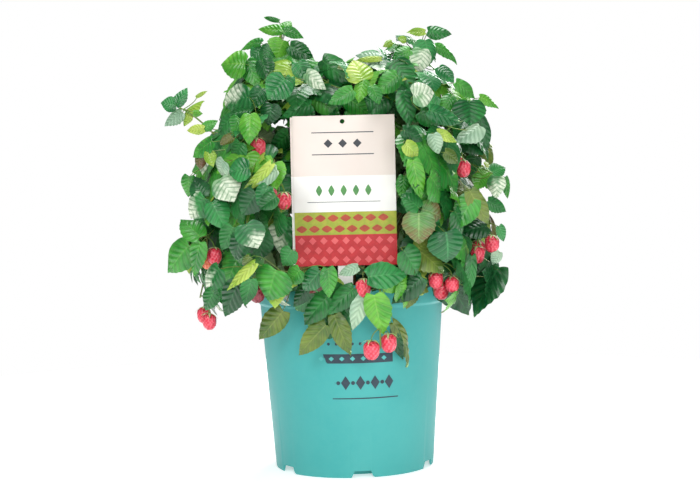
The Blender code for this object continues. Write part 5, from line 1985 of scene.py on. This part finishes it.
def pot_profile():
    """Radius and height from the middle of the inner floor, over the rim and down, to the base's middle."""
    inside = POT_WALL
    band = POT_HEIGHT - RIM_BAND
    floor = CHANNEL_HEIGHT + POT_WALL
    rim = pot_radius(POT_HEIGHT) + RIM_STEP
    return round_corners([
        (0.0, inside),
        (PLATEAU_RADIUS - inside, inside),
        (PLATEAU_RADIUS - inside, floor),
        (pot_radius(floor) - inside, floor),
        (pot_radius(POT_HEIGHT) - inside, POT_HEIGHT),
        (rim, POT_HEIGHT),
        (pot_radius(band) + RIM_STEP, band),
        (pot_radius(band), band - RIM_STEP),
        (pot_radius(0.10), 0.10),
        (pot_radius(0.0), 0.0),
        (pot_radius(0.0) - inside, 0.0),
        (pot_radius(0.0) - inside, CHANNEL_HEIGHT),
        (PLATEAU_RADIUS, CHANNEL_HEIGHT),
        (PLATEAU_RADIUS, 0.0),
        (0.0, 0.0),
    ])


def pot_surface():
    """The profile carried round the axis: x = r sin a, y = -r cos a, z = h.

    Outside the plateau, heights under the notch's height at that angle are lifted to it, and the wall's
    radius follows the new height. A slow ripple of a quarter of a millimetre keeps the wall from looking
    machined.
    """
    profile = pot_profile()
    angle = full_turn(POT_TURNS)
    radius = profile[:, :1] + 0 * angle
    height = profile[:, 1:] + 0 * angle
    spacing = 2 * np.pi / NOTCH_COUNT
    apart = np.abs((angle - FIRST_NOTCH + spacing / 2) % spacing - spacing / 2) * POT_BASE_RADIUS
    edge = np.clip((NOTCH_WIDTH / 2 - apart) / NOTCH_EDGE, 0, 1)
    notch = NOTCH_HEIGHT * 0.97 * edge * edge * (3 - 2 * edge)
    wall = radius > PLATEAU_RADIUS + 0.004
    lifted = np.where(wall, np.maximum(height, notch[None] + 0.02 * height), height)
    slope = (POT_RIM_RADIUS - POT_BASE_RADIUS) / POT_HEIGHT
    radius = radius + slope * (lifted - height)
    points = on_axis(radius, angle, lifted)
    swell = WALL_SWELL * ripple(points, 0.09, 5) * (radius > PLATEAU_RADIUS)
    return points + on_axis(swell, angle, 0.0)


def closed_turn(points):
    """A turned grid whose first and last rings shrink to one point each, as points and face blocks."""
    rings, turns, _ = points.shape
    ends = [points[:1, 0], points[-1:, 0]]
    return np.concatenate([points[1:-1].reshape(-1, 3), *ends]), fan_faces(rings - 2, turns)


def pot_material():
    """Satin moulded plastic: turquoise with a faint cloudiness, fine pitting and a soft gloss."""
    made, tree, shader = new_material("pot plastic", 0.46, coat=0.04, coat_roughness=0.35, specular=0.28)
    cloud = mottled(tree, paint(60, 156, 154), paint(70, 162, 159), 9.0, 0.8)
    dust = mottled(tree, cloud["Colour"], paint(84, 166, 160), 150.0, 0.10)
    feed(tree, shader.inputs["Roughness"], ramp(tree, cloud["Value"], 0.0, 1.0, 0.42, 0.54, soft=False))
    cover(tree, shader, dust["Colour"], 420.0, 0.5, 0.12, 0.0004)
    return made


put_mesh("pot_shell", closed_turn(pot_surface()), [pot_material()], sharp=50, stands_for=["pot"])

# %% [markdown]
# Compost
#
# The compost is dark and crumbly. Its top is a disc whose height is rough at three scales, closed by a plain
# underside, with crumbs of bark strewn over it.

# %% Compost
SOIL_RINGS = 40
SOIL_TURNS = 120
CRUMBS = 420
CRUMB_REACH = 0.092
CRUMB_SINK = 0.0012


def soil_surface():
    """The compost's outline turned round the axis, with the top roughened by ripples of three sizes."""
    clear = POT_WALL + 2 * GAP
    rim = pot_radius(SOIL_TOP) - clear
    floor = CHANNEL_HEIGHT + POT_WALL + GAP
    out = np.linspace(0, 0.97, SOIL_RINGS)
    top = np.stack([rim * out, SOIL_TOP + SOIL_DOME * (1 - out**6)], axis=1)
    low = np.array([(rim, SOIL_TOP - 0.001), (pot_radius(floor) - clear - 0.0003, floor),
                    (PLATEAU_RADIUS - clear, floor), (PLATEAU_RADIUS - clear, clear), (0.0, clear)])
    profile = np.concatenate([top, low])
    points = on_axis(profile[:, :1], full_turn(SOIL_TURNS), profile[:, 1:])
    rough = 0.0009 * ripple(points, 0.020, 21) + 0.0006 * ripple(points, 0.008, 22)
    rough = rough + 0.0004 * ripple(points, 0.0035, 23) - 0.0012
    points[1:SOIL_RINGS, :, 2] += rough[1:SOIL_RINGS]
    points[0, :, 2] += rough[0, 0]
    return points


def crumb_shapes(count, seed):
    """Bark crumbs: squashed eight-faced lumps of seeded size and turn, half sunk in the compost's top."""
    drawn = np.random.default_rng(seed)
    corners = np.array([(1, 0, 0), (0, 1, 0), (-1, 0, 0), (0, -1, 0), (0, 0, 1), (0, 0, -1)], float)
    faces = np.array([(0, 1, 4), (1, 2, 4), (2, 3, 4), (3, 0, 4), (1, 0, 5), (2, 1, 5), (3, 2, 5), (0, 3, 5)])
    size = drawn.uniform(0.0012, 0.0038, (count, 1, 1)) * np.array([1.0, 0.6, 0.4])
    turned = drawn.uniform(0, 2 * np.pi, count)
    spin = np.stack([np.cos(turned), -np.sin(turned), 0 * turned, np.sin(turned), np.cos(turned), 0 * turned,
                     0 * turned, 0 * turned, 1 + 0 * turned], axis=1).reshape(-1, 3, 3)
    shape = np.einsum("kij,kpj->kpi", spin, corners[None] * size * drawn.uniform(0.7, 1.2, (count, 6, 1)))
    out = CRUMB_REACH * np.sqrt(drawn.uniform(0, 1, count))
    place = on_axis(out, drawn.uniform(0, 2 * np.pi, count), SOIL_TOP + SOIL_DOME - CRUMB_SINK)
    return (shape + place[:, None]).reshape(-1, 3), [repeat_faces(faces, count, len(corners))]


def soil_material():
    """Compost: nearly black, crumbly and without gloss."""
    made, tree, shader = new_material("compost", 0.92, specular=0.2)
    dark = mottled(tree, paint(44, 31, 24), paint(78, 56, 42), 120.0, 0.9, Detail=6.0)
    cover(tree, shader, dark["Colour"], 500.0, 0.9, 0.8, 0.0012)
    return made


soil_finish = soil_material()
put_mesh("compost_top", closed_turn(soil_surface()), [soil_finish], stands_for=["compost"])
put_mesh("compost_crumbs", crumb_shapes(CRUMBS, 31), [soil_finish], sharp=30)

# %% [markdown]
# Card label and plain decoration
#
# The label is two stiff card sheets. The frame's sheets have the right shape, so they stay and only get a
# finish: cream above and white below. Its decoration and the pot's are thin inlays, flat outlines that are
# laid on a surface and given a tenth of a millimetre of thickness, so their edges stay crisp.

# %% Inlays on a surface
INLAY_THICKNESS = 0.00012
INLAY_SUNK = 0.0001
BAR_STEPS = 40


def on_label(u, v, w):
    """Flat coordinates from the label's lower middle, on its front face, w proud of it."""
    face = LABEL_Y - SHEET_THICKNESS / 2
    return np.stack([LABEL_X + u, 0 * u + face - w, LABEL_BOTTOM + v], axis=-1)


def on_pot(u, v, w):
    """Flat coordinates round the pot's wall: u along the wall from the front's middle, v its height."""
    radius = pot_radius(v)
    return on_axis(radius + w, u / radius, v)


def inlay_shapes(outlines, place):
    """Outlines (k, n, 2), counter-clockwise, as closed thin plates: a front, a back and their edge."""
    outlines = np.asarray(outlines, float)
    count, sides, _ = outlines.shape
    u, v = outlines[..., 0], outlines[..., 1]
    back = place(u, v, 0 * u - INLAY_SUNK)
    front = place(u, v, 0 * u + INLAY_THICKNESS)
    points = np.concatenate([back, front], axis=1).reshape(-1, 3)
    edge, back_face, front_face = tube_faces(count, 2, sides)
    return points, [edge, front_face, back_face]


def bar_shape(left, right, middle_height, half, place, steps=BAR_STEPS):
    """A straight bar that follows the surface: a four-cornered section carried along u."""
    u = np.linspace(left, right, steps)
    section = [(-half, -INLAY_SUNK), (half, -INLAY_SUNK), (half, INLAY_THICKNESS), (-half, INLAY_THICKNESS)]
    rings = np.stack([place(u, middle_height + v + 0 * u, w + 0 * u) for v, w in section], axis=1)
    return rings.reshape(-1, 3), tube_faces(1, steps, 4)


def lozenges(centres, half_width, half_height, sides=4, power=1.0):
    """Pointed shapes round each centre: a circle's cosine and sine, each scaled and drawn in to a power."""
    turn = full_turn(sides)
    x = half_width * np.sign(np.cos(turn)) * np.abs(np.cos(turn)) ** power
    y = half_height * np.sign(np.sin(turn)) * np.abs(np.sin(turn)) ** power
    return np.asarray(centres)[:, None] + np.stack([x, y], axis=-1)[None]


def row_of(count, spacing, height, middle_u=0.0):
    """Evenly spaced centres in a row."""
    return [((index - (count - 1) / 2) * spacing + middle_u, height) for index in range(count)]


def ink(name, colour, second):
    """Printed ink: one colour, slightly uneven, with the satin of what it is printed on."""
    made, tree, shader = new_material(name, 0.45, specular=0.45)
    cover(tree, shader, mottled(tree, colour, second, 120.0, 0.6)["Colour"], 900.0, 0.5, 0.10, 0.0002)
    return made


# %% Decoration of the pot and the label
PRINT_CRISP = 30

# Bars: left, right, height of the middle and half height. Marks: how many, spacing, height, half width,
# half height, corners, and the power that draws their sides in.
POT_BARS = ((-0.046, 0.046, 0.134, 0.0052), (-0.052, 0.052, 0.0895, 0.0006))
POT_MARKS = ((11, 0.0088, 0.1505, 0.0017, 0.0017, 16), (6, 0.0164, 0.107, 0.0052, 0.0078, 4),
             (5, 0.0164, 0.107, 0.0022, 0.0022, 16))
POT_LIGHT_MARKS = (7, 0.0118, 0.134, 0.0030, 0.0026, 4)
LABEL_BARS = ((-0.034, 0.034, 0.1460, 0.0005), (-0.034, 0.034, 0.1220, 0.0005),
              (-0.040, 0.040, 0.0700, 0.0003))


def marks(count, spacing, height, *form):
    """A row of lozenges."""
    return lozenges(row_of(count, spacing, height), *form)


def on_print(u, v, w):
    """A second layer of ink on the pot."""
    return on_pot(u, v, w + INLAY_THICKNESS)


navy = ink("navy ink", paint(30, 48, 62), paint(40, 62, 74))
turquoise = ink("turquoise ink", paint(76, 176, 172), paint(70, 172, 168))
shapes = [bar_shape(*bar, on_pot) for bar in POT_BARS]
shapes += [inlay_shapes(marks(*row), on_pot) for row in POT_MARKS]
put_mesh("pot_print", join(shapes), [navy], sharp=PRINT_CRISP)
put_mesh("pot_print_light", inlay_shapes(marks(*POT_LIGHT_MARKS), on_print), [turquoise],
         sharp=PRINT_CRISP)

PICTURE_TOP = 0.0590
PICTURE_SPLIT = 0.0340
PICTURE_LEFT = -LABEL_WIDTH / 2 + 0.0028
PICTURE_RIGHT = LABEL_WIDTH / 2
FOLD_HEIGHT = 0.0985


def field(low, high):
    """A plain rectangle across the label's picture."""
    return [[(PICTURE_LEFT, low), (PICTURE_RIGHT, low), (PICTURE_RIGHT, high), (PICTURE_LEFT, high)]]


def raised(u, v, w):
    """A second layer of ink on the label."""
    return on_label(u, v, w + INLAY_THICKNESS)


def lattice(rows, columns, spacing, step, low):
    """Centres in staggered rows."""
    centres = []
    for row in range(rows):
        centres += row_of(columns - row % 2, spacing, low + row * step, (PICTURE_LEFT + PICTURE_RIGHT) / 2)
    return centres


LABEL_PRINTS = {
    "label_field_red": (field(0.0, PICTURE_SPLIT), on_label, ((188, 24, 34), (214, 40, 50))),
    "label_field_green": (field(PICTURE_SPLIT, PICTURE_TOP), on_label, ((150, 168, 44), (190, 184, 60))),
    "label_motifs_pink": (lozenges(lattice(3, 9, 0.0122, 0.0105, 0.0065), 0.0042, 0.0042, 4), raised,
                          ((226, 84, 92), (236, 112, 112))),
    "label_motifs_rust": (lozenges(lattice(2, 8, 0.0138, 0.0118, 0.0405), 0.0060, 0.0040, 16, 1.6), raised,
                          ((168, 60, 34), (196, 84, 44))),
    "label_motifs_green": (marks(5, 0.0135, 0.0825, 0.0034, 0.0060, 16, 1.6), on_label,
                           ((64, 132, 70), (92, 156, 80))),
    "label_motifs_navy": (marks(3, 0.0160, 0.1340, 0.0048, 0.0048, 4), on_label,
                          ((44, 48, 56), (58, 62, 70))),
}
for name, (outlines, place, colours) in LABEL_PRINTS.items():
    finish = ink(name.replace("_", " "), *[paint(*colour) for colour in colours])
    put_mesh(name, inlay_shapes(outlines, place), [finish], sharp=PRINT_CRISP)
shapes = [bar_shape(*bar, on_label, 2) for bar in LABEL_BARS]
put_mesh("label_lines", join(shapes), [navy], sharp=PRINT_CRISP)


def card_material():
    """Coated card: cream above the fold line and white below it, faintly clouded, with a soft sheen."""
    made, tree, shader = new_material("label card", 0.48, specular=0.45)
    place = add_node(tree, "TexCoord").outputs["Object"]
    height = add_node(tree, "SeparateXYZ", Vector=place).outputs["Z"]
    above = math_node(tree, "GREATER_THAN", height, LABEL_BOTTOM + FOLD_HEIGHT)
    tone = mix_colours(tree, above, paint(248, 247, 245), paint(231, 217, 210))
    faded = mottled(tree, tone, paint(234, 226, 220), 26.0, 0.3)
    cover(tree, shader, faded["Colour"], 800.0, 0.4, 0.10, 0.0002)
    return made


card = card_material()
for name in ("label_front", "label_stake"):
    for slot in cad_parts[name].material_slots:
        slot.material = card

# %% [markdown]
# Floor, light and world
#
# The product stands on a white sweep in even studio light. Five soft lights stand round it: the key at the
# upper left in front, one in front, a weaker fill from the right, one overhead and one behind. The gaps
# between leaves still go nearly black, so the white world lights the bush much less than the camera sees it.

# %% Studio
FLOOR_REACH = 1.1
FLOOR_SIDES = 96
FLOOR_DROP = 0.0002
LIGHT_AIM = (0, 0, 0.28)

# Name, place, size and power of each light.
LIGHTS = (
    ("key", (-0.9, -1.8, 1.3), 0.9, 23),
    ("front", (0.3, -2.2, 0.5), 0.7, 13),
    ("fill", (1.5, -1.5, 0.6), 1.0, 9),
    ("top", (0.1, 0.2, 2.0), 1.0, 34),
    ("back", (0.7, 1.7, 1.1), 1.0, 26),
)

turn = full_turn(FLOOR_SIDES)
ring = np.stack([FLOOR_REACH * np.cos(turn), FLOOR_REACH * np.sin(turn), 0 * turn - FLOOR_DROP], axis=1)
floor_mesh = bpy.data.meshes.new("floor")
floor_mesh.from_pydata(ring.tolist(), [], [tuple(range(FLOOR_SIDES))])
floor_finish, tree, shader = new_material("floor", 0.8, specular=0.1)
shader.inputs["Base Color"].default_value = (0.93, 0.93, 0.93, 1.0)
shader.inputs["Emission Color"].default_value = (1.0, 1.0, 1.0, 1.0)
shader.inputs["Emission Strength"].default_value = 0.5
floor_mesh.materials.append(floor_finish)
floor = bpy.data.objects.new("floor", floor_mesh)
bpy.context.scene.collection.objects.link(floor)


def soft_light(name, place, size, power):
    """A square area light that faces the middle of the bush."""
    light = bpy.data.lights.new(name, "AREA")
    light.size = size
    light.energy = power
    lamp = bpy.data.objects.new(name, light)
    lamp.location = place
    lamp.rotation_euler = (Vector(LIGHT_AIM) - Vector(place)).to_track_quat("-Z", "Y").to_euler()
    bpy.context.scene.collection.objects.link(lamp)


for row in LIGHTS:
    soft_light(*row)

world = bpy.data.worlds.new("studio")
world.use_nodes = True
bpy.context.scene.world = world
tree = world.node_tree
shown = add_node(tree, "LightPath").outputs["Is Camera Ray"]
back = tree.nodes["Background"]
back.inputs["Color"].default_value = (1.0, 1.0, 1.0, 1.0)
feed(tree, back.inputs["Strength"], ramp(tree, shown, 0.0, 1.0, 0.25, 1.0, soft=False))
bpy.context.scene.view_settings.view_transform = "Standard"
